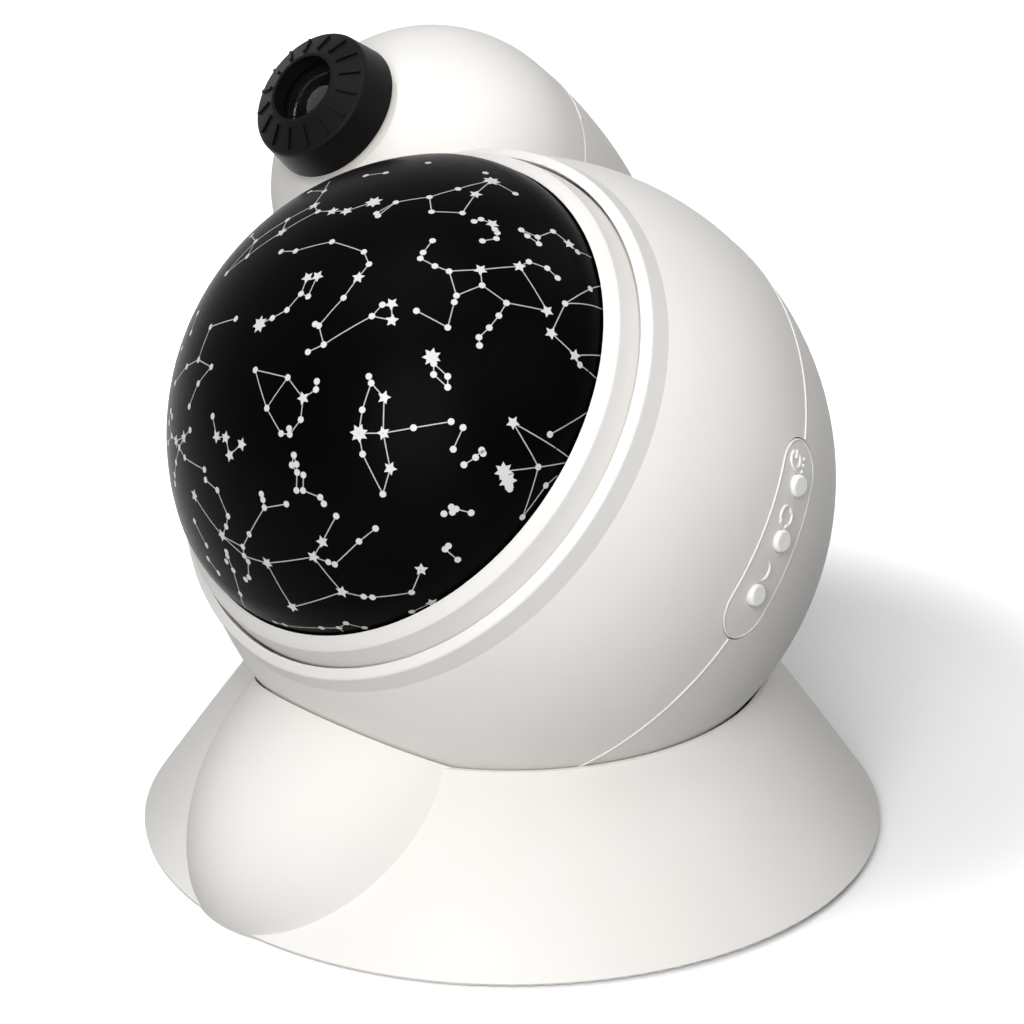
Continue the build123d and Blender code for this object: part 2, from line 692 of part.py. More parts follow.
write(drive_gear, "drive_gear")

pinion_plane = around(head, pinion_circle, motor_angle)
pinion_bottom = gear_bottom + 0.2
pinion_top = bezel_foot - 0.2
pinion_hub = 3.4
press_gap = 0.02              # pinion on the motor's shaft

with BuildPart() as pinion:
    with BuildSketch(Plane(origin=pinion_plane.origin, z_dir=dome_direction,
                           x_dir=pinion_plane.origin - ball_centre).offset(pinion_bottom)) as wheel:
        Circle(pinion_pitch - tooth_dedendum * gear_module + 0.02)   # just over the feet of the teeth
        with PolarLocations(0, pinion_teeth, start_angle=180 / pinion_teeth):
            with BuildLine(mode=Mode.PRIVATE) as tooth_line:
                Polyline(*tooth_outline(pinion_teeth, pinion_pitch - tooth_dedendum * gear_module,
                                        pinion_pitch + tooth_addendum * gear_module, tooth_backlash),
                         close=True)
            tooth_face = make_face(tooth_line.line, mode=Mode.PRIVATE)
            add(tooth_face)
        Circle(motor_shaft + press_gap, mode=Mode.SUBTRACT)
    extrude(amount=pinion_top - pinion_bottom)
    disc(pinion_plane, pinion_hub, deck_top + 1.0, pinion_bottom, hole=motor_shaft + press_gap)
write(pinion, "pinion")

# ---- deck with motor, lamp and boards -----------------------------------------------------------
deck_wall_inner = gear_body + 0.4
deck_wall_outer = deck_wall_inner + 2.4
post_places = [(-24, 12), (24, 12), (-24, -20), (10, -24)]
post_radius = 2.6
post_pilot = screw_hole - 0.3
board_top = deck_floor - 6.4
lamp_pad_radius = 9.0
lamp_pad_top = deck_top + 2.0

with BuildPart() as deck:
    disc(head, deck_radius, deck_floor, deck_top)
    disc(head, deck_wall_outer, deck_top, flange_bottom - curved_gap, hole=deck_wall_inner)
    disc(head, lamp_pad_radius, deck_top, lamp_pad_top)
    for x, v in post_places:
        disc(moved(head, x, v), post_radius, board_top, deck_floor)
    disc(pinion_plane, pinion_hub + 0.8, deck_floor, deck_top, mode=Mode.SUBTRACT)
    for angle in deck_boss_angles:
        disc(around(head, deck_boss_circle, angle), screw_hole + 0.2, deck_floor, deck_top,
             mode=Mode.SUBTRACT)
    for x, v in post_places:
        disc(moved(head, x, v), post_pilot, board_top, deck_floor - 1, mode=Mode.SUBTRACT)
    # slot for the wires
    block(head, (-6, 6), (30, 38), deck_floor, deck_top, mode=Mode.SUBTRACT)
write(deck, "deck")

with BuildPart() as deck_screws:
    for angle in deck_boss_angles:
        screw(around(head, deck_boss_circle, angle), deck_floor, deck_screw_length)
write(deck_screws, "deck_screws")

with BuildPart() as drive_motor:
    disc(pinion_plane, motor_radius, deck_floor - motor_length, deck_floor)
    disc(pinion_plane, motor_shaft, deck_floor, pinion_top)
    # mounting ears on both sides
    for turn in (motor_angle + 90, motor_angle - 90):
        disc(around(pinion_plane, motor_radius + 1.8, turn), 2.6, deck_floor - 1.2, deck_floor)
write(drive_motor, "drive_motor")

lamp_level = rim_top - 13.5   # seat of the star lamp's board
lamp_board_top = lamp_level + 1.2
led_width = 3.6
led_top = lamp_board_top + 0.8
led_lens_radius = 1.5

with BuildPart() as lamp_post:
    disc(head, 6.0, lamp_pad_top, lamp_level)
    disc(head, 8.0, lamp_pad_top, lamp_pad_top + 1.6)
write(lamp_post, "lamp_post")

with BuildPart() as star_led_board:
    with BuildSketch(head.offset(lamp_level)):
        RegularPolygon(8.0, 6)
    extrude(amount=lamp_board_top - lamp_level)
write(star_led_board, "star_led_board")

with BuildPart() as star_led:
    block(head, (-led_width / 2, led_width / 2), (-led_width / 2, led_width / 2), lamp_board_top, led_top)
    with BuildSketch(head_section) as lens_outline:
        with BuildLine():
            Polyline((0, led_top + led_lens_radius), (0, led_top), (led_lens_radius, led_top))
            RadiusArc((led_lens_radius, led_top), (0, led_top + led_lens_radius), -led_lens_radius)
        make_face()
    revolve(lens_outline.sketch, axis=dome_axis)
write(star_led, "star_led")

board_bottom = board_top - board_thickness
board_screw_length = 6.0

with BuildPart() as main_board:
    # the board, with a notch beside the motor
    block(head, (-29, 29), (-13, 17), board_bottom, board_top)
    block(head, (-29, 12.5), (-27, -13), board_bottom, board_top)
    # controller, charger, and the sockets of the battery and the lamps
    block(head, (-8, 2), (-8, 2), board_top, board_top + 1.4)
    block(head, (8, 14), (-4, 4), board_top, board_top + 1.2)
    block(head, (-20, -13), (-16, -11), board_bottom - 5, board_bottom)
    block(head, (14, 26), (4, 9), board_bottom - 6, board_bottom)
    for x, v in post_places:
        disc(moved(head, x, v), screw_hole, board_bottom, board_top, mode=Mode.SUBTRACT)
write(main_board, "main_board")

with BuildPart() as board_screws:
    for x, v in post_places:
        screw(moved(head, x, v), board_bottom, board_screw_length, radius=post_pilot, head_radius=2.0)
write(board_screws, "board_screws")

# ---- battery and charging socket ----------------------------------------------------------------
cell_radius = 9.2
cell_length = 65.0
cell_cap = 1.0                # height of the button at its positive end
cell_cap_radius = 3.0
holder_wall = 1.6
holder_gap = 0.2              # round the cell
holder_end = 2.0              # contact spring and wall at each end
holder_top = battery_w + 2.0
cell = Plane(origin=head.from_local_coords(Vector(-cell_length / 2, battery_v, battery_w)),
             x_dir=dome_direction, z_dir=(1, 0, 0))

with BuildPart() as battery_cell:
    disc(cell, cell_radius, 0, cell_length - cell_cap)
    disc(cell, cell_cap_radius, cell_length - cell_cap, cell_length)
write(battery_cell, "battery_cell")

pocket_long = cell_length / 2 + 0.4
pocket_wide = cell_radius + holder_gap
holder_long = pocket_long + holder_end
holder_wide = pocket_wide + holder_wall

with BuildPart() as battery_holder:
    block(head, (-holder_long, holder_long), (battery_v - holder_wide, battery_v + holder_wide),
          battery_rest, holder_top)
    block(head, (-pocket_long, pocket_long), (battery_v - pocket_wide, battery_v + pocket_wide),
          battery_w - pocket_wide, holder_top, mode=Mode.SUBTRACT)
write(battery_holder, "battery_holder")

usb_board_width = 18.0
usb_shell = 0.3               # sheet of the socket's shroud

with BuildPart() as usb_board:
    block(head, (-usb_board_width / 2, usb_board_width / 2), (usb_v - board_thickness, usb_v),
          socket_front + 3.0, socket_front + 15.6)
write(usb_board, "usb_board")

socket = Plane(origin=head.from_local_coords(Vector(0, usb_v + usb_height / 2, socket_front)),
               x_dir=(1, 0, 0), z_dir=dome_direction)

with BuildPart() as usb_socket:
    with BuildSketch(socket) as shroud:
        SlotOverall(usb_width, usb_height)
    extrude(amount=socket_depth)
    with BuildSketch(socket) as mouth:
        SlotOverall(usb_width - 2 * usb_shell, usb_height - 2 * usb_shell)
    extrude(amount=socket_depth - 1.0, mode=Mode.SUBTRACT)
    with BuildSketch(socket.offset(0.6)) as tongue:
        Rectangle(usb_width - 2.4, 0.7)
    extrude(amount=socket_depth - 1.6)
write(usb_socket, "usb_socket")

# ---- button panel on the side of the ball -------------------------------------------------------
flange_outer = ball_inner - 0.1
flange_inner = flange_outer - 1.4
flange_grow = 1.4             # by which the panel's flange laps behind the shells
switch_top = ball_radius - 8.2
switch_height = 3.5
switch_width = 6.0
plunger_height = 0.9
plunger_radius = 1.7
switch_board_top = switch_top - switch_height
switch_board_size = (41.0, 10.0)
button_places = (button_pitch, 0.0, -button_pitch)
button_bore = button_radius + 0.1
button_collar_radius = 3.2
button_collar = 0.9           # keeps the button behind the panel
button_round = 0.7
button_stem = 1.4
panel_posts = (-17.6, 17.6)
panel_post_radius = 1.9
panel_post_pilot = 0.8

with BuildPart() as button_panel:
    with BuildPart(mode=Mode.PRIVATE) as plate:
        stadium(panel, ball_inner - 3 * wall, ball_radius + wall, 0)
        with Locations(ball_centre):
            Sphere(ball_radius, mode=Mode.INTERSECT)
    with BuildPart(mode=Mode.PRIVATE) as flange:
        stadium(panel, ball_inner - 3 * wall, ball_radius + wall, flange_grow)
        with Locations(ball_centre):
            Sphere(flange_outer, mode=Mode.INTERSECT)
    add(plate.part)
    add(flange.part)
    with Locations(ball_centre):
        Sphere(flange_inner, mode=Mode.SUBTRACT)
    for along in panel_posts:
        disc(moved(panel, along, 0), panel_post_radius, switch_board_top, flange_inner - 1.6)
    for along in panel_posts:
        disc(moved(panel, along, 0), panel_post_pilot, switch_board_top, switch_board_top + 3.4,
             mode=Mode.SUBTRACT)
    for along in button_places:
        disc(moved(panel, along, 0), button_bore, switch_top, ball_radius + wall, mode=Mode.SUBTRACT)
write(button_panel, "button_panel")

button_names = ("light_button", "turn_button", "moon_button")

for name, along in zip(button_names, button_places):
    place = moved(panel, along, 0)
    face_level = sphere_height(ball_radius, hypot(along, seam_offset))
    collar_reach = hypot(abs(along) + button_collar_radius, seam_offset)
    collar_top = sphere_height(flange_inner, collar_reach) - curved_gap
    collar_foot = collar_top - button_collar
    stem_foot = switch_top + button_travel + running_fit
    with BuildPart() as button:
        disc(place, button_radius, collar_foot, face_level + button_proud)
        cap = button.edges().filter_by(GeomType.CIRCLE).sort_by(Axis(ball_centre, panel_out))[-1]
        fillet(cap, button_round)
        disc(place, button_collar_radius, collar_foot, collar_top)
        disc(place, button_stem, stem_foot, collar_foot)
    write(button, name)

with BuildPart() as switch_board:
    with BuildSketch(panel.offset(switch_board_top - board_thickness)) as board_outline:
        RectangleRounded(*switch_board_size, 1.5)
        with Locations(*[(along, 0) for along in panel_posts]):
            Circle(panel_post_pilot + 0.2, mode=Mode.SUBTRACT)
    extrude(amount=board_thickness)
    # plug socket behind the board
    switch_board_back = switch_board_top - board_thickness
    block(panel, (-3, 3), (-4.5, -2.0), switch_board_back - 3, switch_board_back)
write(switch_board, "switch_board")

with BuildPart() as tact_switches:
    for along in button_places:
        place = moved(panel, along, 0)
        block(place, (-switch_width / 2, switch_width / 2), (-switch_width / 2, switch_width / 2),
              switch_board_top, switch_top - plunger_height)
        disc(place, plunger_radius, switch_top - plunger_height, switch_top)
write(tact_switches, "tact_switches")

with BuildPart() as switch_screws:
    for along in panel_posts:
        screw(moved(panel, along, 0), switch_board_top - board_thickness, 4.6, radius=panel_post_pilot,
              head_radius=1.6, head=0.9)
write(switch_screws, "switch_screws")

# ---- moon projector in the pod ------------------------------------------------------------------
ring_back = ring_front - ring_length
ring_face_wall = 1.8          # least wall of the ring's face, over the end of the barrel
ring_slope = atan2(ring_rise, ring_face_radius - ring_lip)
ring_inside = ring_front + (ring_face_radius - barrel_radius) * tan(ring_slope) - ring_face_wall
barrel_front = ring_inside - curved_gap
barrel_flange_height = 2.2
lens_cell_length = 11.0
lens_travel = 1.6             # of the lens cell, each way, over the ring's travel
lens_cell_front = ring_inside - lens_travel - curved_gap
lens_edge = 2.2
lens_bulge = 2.6
lens_recess = 1.2             # of the lens's edge behind the cell's front
lens_seat = lens_cell_front - lens_edge - lens_recess
lens_index = 1.49             # acrylic
lens_curve = (lens_radius ** 2 + lens_bulge ** 2) / (2 * lens_bulge)
focal_length = lens_curve / (lens_index - 1)
film_place = 1.25             # of the film, within its frame
film_thickness = 0.3
slide_seat = lens_seat + (lens_edge + lens_bulge) / lens_index - focal_length - 1.7
slide_frame_height = 3.0
condenser_seat = tenth(slide_seat - 12.8)
barrel_rear = tenth(slide_seat - 18.8)
barrel_rear_flange = 1.8
barrel_screw_circle = barrel_flange - 1.4
barrel_screw_angles = (30, 150, 270)
led_screw_length = 3.2

with BuildPart() as lens_barrel:
    disc(pod, barrel_radius, barrel_rear, barrel_front)
    disc(pod, barrel_flange, mount_face - barrel_flange_height, mount_face)
    disc(pod, barrel_flange, barrel_rear, barrel_rear + barrel_rear_flange)
    disc(pod, barrel_bore, barrel_rear, barrel_front, mode=Mode.SUBTRACT)
    for angle in barrel_screw_angles:
        disc(around(pod, barrel_screw_circle, angle), post_pilot, barrel_rear,
             barrel_rear + barrel_rear_flange, mode=Mode.SUBTRACT)
write(lens_barrel, "lens_barrel")

with BuildPart() as focus_ring:
    with BuildSketch(pod_section) as ring_outline:
        with BuildLine():
            Polyline((ring_back, barrel_radius + running_fit), (ring_back, ring_radius),
                     (ring_front, ring_face_radius), (ring_front + ring_rise, ring_lip),
                     (ring_front + ring_rise, lens_radius), (ring_inside, lens_radius),
                     (ring_inside, barrel_radius + running_fit), close=True)
        make_face()
        fillet(ring_outline.vertices().sort_by(Axis.Y)[-2], ring_edge_round)
    revolve(axis=pod_axis)
    # grip ribs along the face's slope, sunk into it by their own height
    rib_inner = ring_lip + 1.0
    rib_outer = ring_face_radius - ring_rib_margin
    rib_middle = (rib_inner + rib_outer) / 2
    rib_level = ring_front + (ring_face_radius - rib_middle) * tan(ring_slope)
    for index in range(ring_rib_count):
        turn = radians(ring_rib_phase + index * 360 / ring_rib_count)
        outward = pod.x_dir * cos(turn) + pod.y_dir * sin(turn)
        rib_plane = Plane(origin=pod_centre + outward * rib_middle + dome_direction * rib_level,
                          x_dir=outward * cos(ring_slope) - dome_direction * sin(ring_slope),
                          z_dir=dome_direction * cos(ring_slope) + outward * sin(ring_slope))
        with BuildSketch(rib_plane.offset(-ring_rib_height)) as rib:
            SlotOverall((rib_outer - rib_inner) / cos(ring_slope), ring_rib_width)
        extrude(rib.sketch, amount=2 * ring_rib_height)
write(focus_ring, "focus_ring")

with BuildPart() as lens_cell:
    disc(pod, barrel_bore - running_fit, lens_cell_front - lens_cell_length, lens_cell_front,
         hole=lens_radius - 1.0)
    disc(pod, lens_radius + running_fit, lens_seat, lens_cell_front, mode=Mode.SUBTRACT)
write(lens_cell, "lens_cell")


def lens_form(radius, seat, edge, bulge):
    """A plano-convex lens: flat at its seat, with a cylindrical edge and a bowed front."""
    curve = (radius ** 2 + bulge ** 2) / (2 * bulge)
    shoulder = seat + edge
    middle = shoulder + bulge - curve + sphere_height(curve, radius / 2)
    with BuildPart() as form:
        with BuildSketch(pod_section) as outline:
            with BuildLine():
                Polyline((shoulder + bulge, 0), (seat, 0), (seat, radius), (shoulder, radius))
                ThreePointArc((shoulder, radius), (middle, radius / 2), (shoulder + bulge, 0))
            make_face()
        revolve(axis=pod_axis)
    return form.part


with BuildPart() as objective_lens:
    add(lens_form(lens_radius, lens_seat, lens_edge, lens_bulge))
write(objective_lens, "objective_lens")

with BuildPart() as slide_frame:
    disc(pod, barrel_bore - 2 * running_fit, slide_seat, slide_seat + slide_frame_height,
         hole=barrel_bore - 2.6)
    disc(pod, barrel_bore - 1.4, slide_seat + film_place - running_fit,
         slide_seat + film_place + film_thickness + running_fit, mode=Mode.SUBTRACT)
write(slide_frame, "slide_frame")

with BuildPart() as moon_slide:
    disc(pod, barrel_bore - 1.5, slide_seat + film_place, slide_seat + film_place + film_thickness)
write(moon_slide, "moon_slide")

with BuildPart() as condenser_lens:
    add(lens_form(barrel_bore - 2 * running_fit, condenser_seat, 1.4, 3.2))
write(condenser_lens, "condenser_lens")

with BuildPart() as moon_led_board:
    disc(pod, barrel_flange, barrel_rear - board_thickness, barrel_rear)
    for angle in barrel_screw_angles:
        disc(around(pod, barrel_screw_circle, angle), post_pilot + 0.1, barrel_rear - board_thickness,
             barrel_rear, mode=Mode.SUBTRACT)
write(moon_led_board, "moon_led_board")

with BuildPart() as moon_led:
    block(pod, (-led_width / 2, led_width / 2), (-led_width / 2, led_width / 2), barrel_rear,
          barrel_rear + 0.9)
    disc(pod, 1.4, barrel_rear + 0.9, barrel_rear + 1.8)
write(moon_led, "moon_led")

with BuildPart() as led_screws:
    for angle in barrel_screw_angles:
        screw(around(pod, barrel_screw_circle, angle), barrel_rear - board_thickness, led_screw_length,
              radius=post_pilot, head_radius=1.9)
write(led_screws, "led_screws")
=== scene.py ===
from math import asin, cos, degrees, hypot, pi, radians, sin, sqrt

import bmesh
import bpy
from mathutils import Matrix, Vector
from mathutils.bvhtree import BVHTree


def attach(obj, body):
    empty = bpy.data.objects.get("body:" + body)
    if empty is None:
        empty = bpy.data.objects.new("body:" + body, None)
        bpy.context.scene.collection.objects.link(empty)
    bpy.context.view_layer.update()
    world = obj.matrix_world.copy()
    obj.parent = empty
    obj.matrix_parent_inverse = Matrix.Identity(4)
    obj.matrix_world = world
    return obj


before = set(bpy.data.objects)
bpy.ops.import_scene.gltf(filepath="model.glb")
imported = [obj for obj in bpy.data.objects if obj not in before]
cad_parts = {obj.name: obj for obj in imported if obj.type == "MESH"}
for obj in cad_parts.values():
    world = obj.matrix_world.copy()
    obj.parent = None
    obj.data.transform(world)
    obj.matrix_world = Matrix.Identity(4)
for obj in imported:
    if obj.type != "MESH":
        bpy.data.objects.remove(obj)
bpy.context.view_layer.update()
scene = bpy.context.scene

# ---- Camera --------------------------------------------------------------------------------------
# A long lens at a little under half a right angle to the star dome, looking down on the projector
# from just above its own height.
view_azimuth = radians(47.21)
view_elevation = radians(22.04)
view_distance = 0.7252
view_height = 0.0697          # of the point that the lens looks at


def direction(azimuth, elevation):
    """From the projector towards a place in the room; azimuth 0 is in front of the star dome."""
    return Vector((cos(elevation) * sin(azimuth), -cos(elevation) * cos(azimuth), sin(elevation)))


camera = bpy.data.objects.new("camera", bpy.data.cameras.new("camera"))
camera.data.lens = 120.95
camera.data.sensor_width = 36.0
to_camera = direction(view_azimuth, view_elevation)
camera.location = to_camera * view_distance + Vector((0, 0, view_height))
camera.rotation_euler = to_camera.to_track_quat("Z", "Y").to_euler()
scene.collection.objects.link(camera)
scene.camera = camera
scene.view_settings.view_transform = "Standard"

# ---- Room ----------------------------------------------------------------------------------------
# A white studio table that keeps the object's shadow, one tall softbox beside the camera, weak ones
# overhead, at the side and behind the object, and a white surround that hardly lights it.
white = "#FFFFFF"
floor_reach = 4.0
floor_gap = 0.0002            # under the projector's foot
shade_centre = (0.0, 0.06, 0.0)
shade_radius = 0.075          # from here the paper fades into the white surround
shade_end = 0.17
surround_fill = 0.05


def linear(colour):
    """An sRGB hex colour as the linear RGBA that a shader wants."""
    channels = [int(colour[place:place + 2], 16) / 255 for place in (1, 3, 5)]
    return [c / 12.92 if c <= 0.04045 else ((c + 0.055) / 1.055) ** 2.4 for c in channels] + [1.0]


def add_node(tree, kind, inputs=None, **settings):
    """A shader node with its settings; an input takes a value or another node's output."""
    made = tree.nodes.new(kind)
    for name, value in settings.items():
        setattr(made, name, value)
    for name, value in (inputs or {}).items():
        if isinstance(value, bpy.types.NodeSocket):
            tree.links.new(value, made.inputs[name])
        else:
            made.inputs[name].default_value = value
    return made


def seen_as_backdrop(tree):
    """1 for what is seen straight, in a mirror or through glass, 0 for light on the object."""
    ray = add_node(tree, "ShaderNodeLightPath")
    first = add_node(tree, "ShaderNodeMath", {0: ray.outputs["Is Camera Ray"],
                                              1: ray.outputs["Is Glossy Ray"]}, operation="MAXIMUM")
    both = add_node(tree, "ShaderNodeMath", {0: first.outputs[0],
                                             1: ray.outputs["Is Transmission Ray"]},
                    operation="MAXIMUM")
    return both.outputs[0]


floor_mesh = bpy.data.meshes.new("floor")
corners = [(x * floor_reach, y * floor_reach, 0) for x, y in ((-1, -1), (1, -1), (1, 1), (-1, 1))]
floor_mesh.from_pydata(corners, [], [(0, 1, 2, 3)])
floor = bpy.data.objects.new("floor", floor_mesh)
floor.location.z = -floor_gap
scene.collection.objects.link(floor)

# Away from the object's own shadow, which lies behind it, the paper glows with painted light that
# fades it into the white surround.
# It throws back less light on the object than real white paper does, as a small sheet would.
paper = bpy.data.materials.new("background paper, matt white")
paper.use_nodes = True
tree = paper.node_tree
tree.nodes.clear()
place = add_node(tree, "ShaderNodeTexCoord").outputs["Object"]
from_shade = add_node(tree, "ShaderNodeVectorMath", {0: place, 1: shade_centre},
                      operation="SUBTRACT")
distance = add_node(tree, "ShaderNodeVectorMath", {0: from_shade.outputs["Vector"]},
                    operation="LENGTH")
fade = add_node(tree, "ShaderNodeMapRange", {"Value": distance.outputs["Value"],
                                             "From Min": shade_radius, "From Max": shade_end},
                interpolation_type="SMOOTHSTEP")
sheet = add_node(tree, "ShaderNodeBsdfDiffuse", {"Color": linear(white)})
# Painted light: an emission seen only straight, in mirrors and through glass, that whitens the
# paper away from the shadow.
painted_glow = add_node(tree, "ShaderNodeEmission", {"Color": linear(white),
                                             "Strength": fade.outputs["Result"]})
seen_paper = add_node(tree, "ShaderNodeAddShader", {0: sheet.outputs[0], 1: painted_glow.outputs[0]})
dull = add_node(tree, "ShaderNodeBsdfDiffuse", {"Color": linear("#6E6E6E")})
surface = add_node(tree, "ShaderNodeMixShader", {0: seen_as_backdrop(tree), 1: dull.outputs[0],
                                                 2: seen_paper.outputs[0]})
add_node(tree, "ShaderNodeOutputMaterial", {"Surface": surface.outputs[0]})
floor_mesh.materials.append(paper)

world = bpy.data.worlds.new("surround")
world.use_nodes = True
scene.world = world
tree = world.node_tree
surround = tree.nodes["Background"]
level = add_node(tree, "ShaderNodeMix", {"Factor": seen_as_backdrop(tree), "A": surround_fill,
                                         "B": 1.0})
tree.links.new(level.outputs[0], surround.inputs["Strength"])
surround.inputs["Color"].default_value = linear(white)

lamp_distance = 1.3
lamp_aim = Vector((0, 0, 0.08))


def softbox(name, azimuth, elevation, width, height, watts):
    """A soft light that faces the middle of the projector."""
    light = bpy.data.lights.new(name, "AREA")
    light.shape = "RECTANGLE"
    light.size = width
    light.size_y = height
    light.energy = watts
    lamp = bpy.data.objects.new(name, light)
    to_lamp = direction(radians(azimuth), radians(elevation))
    lamp.location = lamp_aim + to_lamp * lamp_distance
    lamp.rotation_euler = to_lamp.to_track_quat("Z", "Y").to_euler()
    scene.collection.objects.link(lamp)


softbox("key softbox", 34, 26, 0.7, 1.0, 14.8)
softbox("overhead softbox", -10, 76, 0.8, 0.8, 6.3)
softbox("side softbox", 82, 45, 0.6, 0.6, 1.8)
softbox("back softbox", 165, 52, 0.6, 0.6, 2.6)

# ---- Base ----------------------------------------------------------------------------------------
# A flared skirt and its floor plate, injection-moulded in warm white ABS with a fine spark-eroded
# texture. Zinc-plated screws hold the plate, and the whole stands on a ring of black rubber.
drift_start, drift_end = 0.35, 0.65
texture_low, texture_high = 0.3, 0.7
bump_strength = 0.6
plastic_ior = 1.53


def per_mm(size):
    """Texture scale at which one cell of a pattern is size millimetres across."""
    return 1000.0 / size


def moulded(name, colour, shade, patch, rough, smooth, grain, depth, gloss=0.5):
    """A plastic whose colour drifts over patches, with the mould's texture as a fine bump.

    The patches, the texture's grain and its depth are in millimetres. The grain of a real mould or
    print is 0.1 to 0.2 across, too fine to show, so it is drawn a few times as coarse.
    """
    material = bpy.data.materials.new(name)
    material.use_nodes = True
    tree = material.node_tree
    surface = tree.nodes["Principled BSDF"]
    place = add_node(tree, "ShaderNodeTexCoord").outputs["Object"]
    cloud = add_node(tree, "ShaderNodeTexNoise", {"Vector": place, "Scale": per_mm(patch),
                                                  "Detail": 3.0})
    ramp = add_node(tree, "ShaderNodeValToRGB", {"Fac": cloud.outputs["Fac"]})
    first, last = ramp.color_ramp.elements
    first.color, first.position = linear(colour), drift_start
    last.color, last.position = linear(shade), drift_end
    tree.links.new(ramp.outputs["Color"], surface.inputs["Base Color"])
    texture = add_node(tree, "ShaderNodeTexNoise", {"Vector": place, "Scale": per_mm(grain),
                                                    "Detail": 2.0})
    sheen = add_node(tree, "ShaderNodeMapRange", {
        "Value": texture.outputs["Fac"], "From Min": texture_low, "From Max": texture_high,
        "To Min": smooth, "To Max": rough})
    tree.links.new(sheen.outputs["Result"], surface.inputs["Roughness"])
    bump = add_node(tree, "ShaderNodeBump", {"Height": texture.outputs["Fac"],
                                             "Strength": bump_strength, "Distance": depth / 1000.0})
    tree.links.new(bump.outputs["Normal"], surface.inputs["Normal"])
    surface.inputs["IOR"].default_value = plastic_ior
    surface.inputs["Specular IOR Level"].default_value = gloss
    return material


def plated(name, colour, scratch, rough, spread=0.08):
    """A plated metal, duller here and brighter there by its fine scratches, in millimetres."""
    material = bpy.data.materials.new(name)
    material.use_nodes = True
    tree = material.node_tree
    surface = tree.nodes["Principled BSDF"]
    surface.inputs["Base Color"].default_value = linear(colour)
    surface.inputs["Metallic"].default_value = 1.0
    place = add_node(tree, "ShaderNodeTexCoord").outputs["Object"]
    lines = add_node(tree, "ShaderNodeTexNoise", {"Vector": place, "Scale": per_mm(scratch),
                                                  "Detail": 4.0})
    sheen = add_node(tree, "ShaderNodeMapRange", {
        "Value": lines.outputs["Fac"], "To Min": rough - spread, "To Max": rough + spread})
    tree.links.new(sheen.outputs["Result"], surface.inputs["Roughness"])
    return material


def dress(material, *nodes):
    """Give CAD nodes their finished material."""
    for name in nodes:
        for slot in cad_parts[name].material_slots:
            slot.material = material


# A soft satin sheen with no sharp reflections, in a warm white that hardly varies.
housing_white, housing_shade = "#F1EFEC", "#ECE9E5"
white_abs = moulded("ABS, moulded, warm white", housing_white, housing_shade, patch=60,
                    rough=0.62, smooth=0.5, grain=0.45, depth=0.010, gloss=0.15)
dress(white_abs, "base_shell", "base_cover")

# Dull and dark, with a slight bloom.
foot_rubber = moulded("rubber, moulded black", "#242424", "#1C1C1C", patch=8,
                      rough=0.85, smooth=0.7, grain=0.4, depth=0.02)
dress(foot_rubber, "foot_pad")

# A light, faintly clouded metal shine.
zinc = plated("steel, zinc-plated", "#B4B5B4", scratch=0.4, rough=0.36)
dress(zinc, "cover_screws")

# ---- Swivel and tilt -----------------------------------------------------------------------------
# A grey ABS cup turns on a washer of natural acetal and grips the ball with rubber pads. A plated
# stud through the ball's slot holds a saddle, spring washers and a nut, which set the friction.

# An even mid grey with the housing's satin sheen.
grey_abs = moulded("ABS, moulded grey", "#636567", "#5C5E60", patch=20,
                   rough=0.55, smooth=0.45, grain=0.5, depth=0.01)
dress(grey_abs, "swivel_cup")

# A milky, slightly waxy off-white.
natural_acetal = moulded("acetal, natural white", "#DEDCD2", "#D8D5CA", patch=10,
                         rough=0.45, smooth=0.35, grain=0.5, depth=0.005)
dress(natural_acetal, "thrust_washer", "tilt_saddle")
dress(foot_rubber, "friction_pads")
dress(zinc, "pivot_stud", "spring_washers", "tilt_nut")

# ---- Ball ----------------------------------------------------------------------------------------
# Front and rear shells of ball and pod in one, split at the seam and screwed from behind, and the
# ring that holds the dome. All are moulded in the base's white ABS.
dress(white_abs, "front_shell", "rear_shell", "bezel_ring")
dress(zinc, "shell_screws")

# ---- Star dome -----------------------------------------------------------------------------------
# A vacuum-formed polycarbonate cap under a black screen-printed coat. It turns with the gear ring
# that is fixed under it, inside the bezel ring.

# Dense and smooth: nearly black face on, with a dark grey sheen of the room at its edges.
black_coat = moulded("polycarbonate, black screen-printed coat", "#040304", "#050505", patch=40,
                     rough=0.34, smooth=0.28, grain=0.8, depth=0.003, gloss=0.012)
dress(black_coat, "star_dome")

# ---- Star chart ----------------------------------------------------------------------------------
# Clear windows left in the black coat: round and pointed stars joined by fine lines into the old
# constellation figures. The white dome behind the coat shows in them as an even pale grey.
dome_tilt = radians(38.84)
ball_centre = Vector((0, 0, 0.0773))
dome_forward = direction(0, dome_tilt)
dome_up = Vector((0, sin(dome_tilt), cos(dome_tilt)))
dome_side = Vector((1, 0, 0))
chart_centre = ball_centre + dome_forward * 0.023
chart_radius = 0.0575         # from the chart's centre to the dome's skin
chart_edge = 0.0431           # along the dome's axis, where the windows go under the bezel's lip
outside = 0.12                # from the chart's centre to clear air all round
dot_radius = 0.00066
dot_corners = 14
star_reach = {"s": (5, 0.00138, 0.0007), "b": (7, 0.00186, 0.00108)}    # points, tip and notch
star_twist = 0.7              # radians that each star is turned from the one before
line_width = 0.00022
line_step = 1.5               # degrees between two points of a line
star_height = 0.00004
line_height = 0.00003
window_root = 0.00003

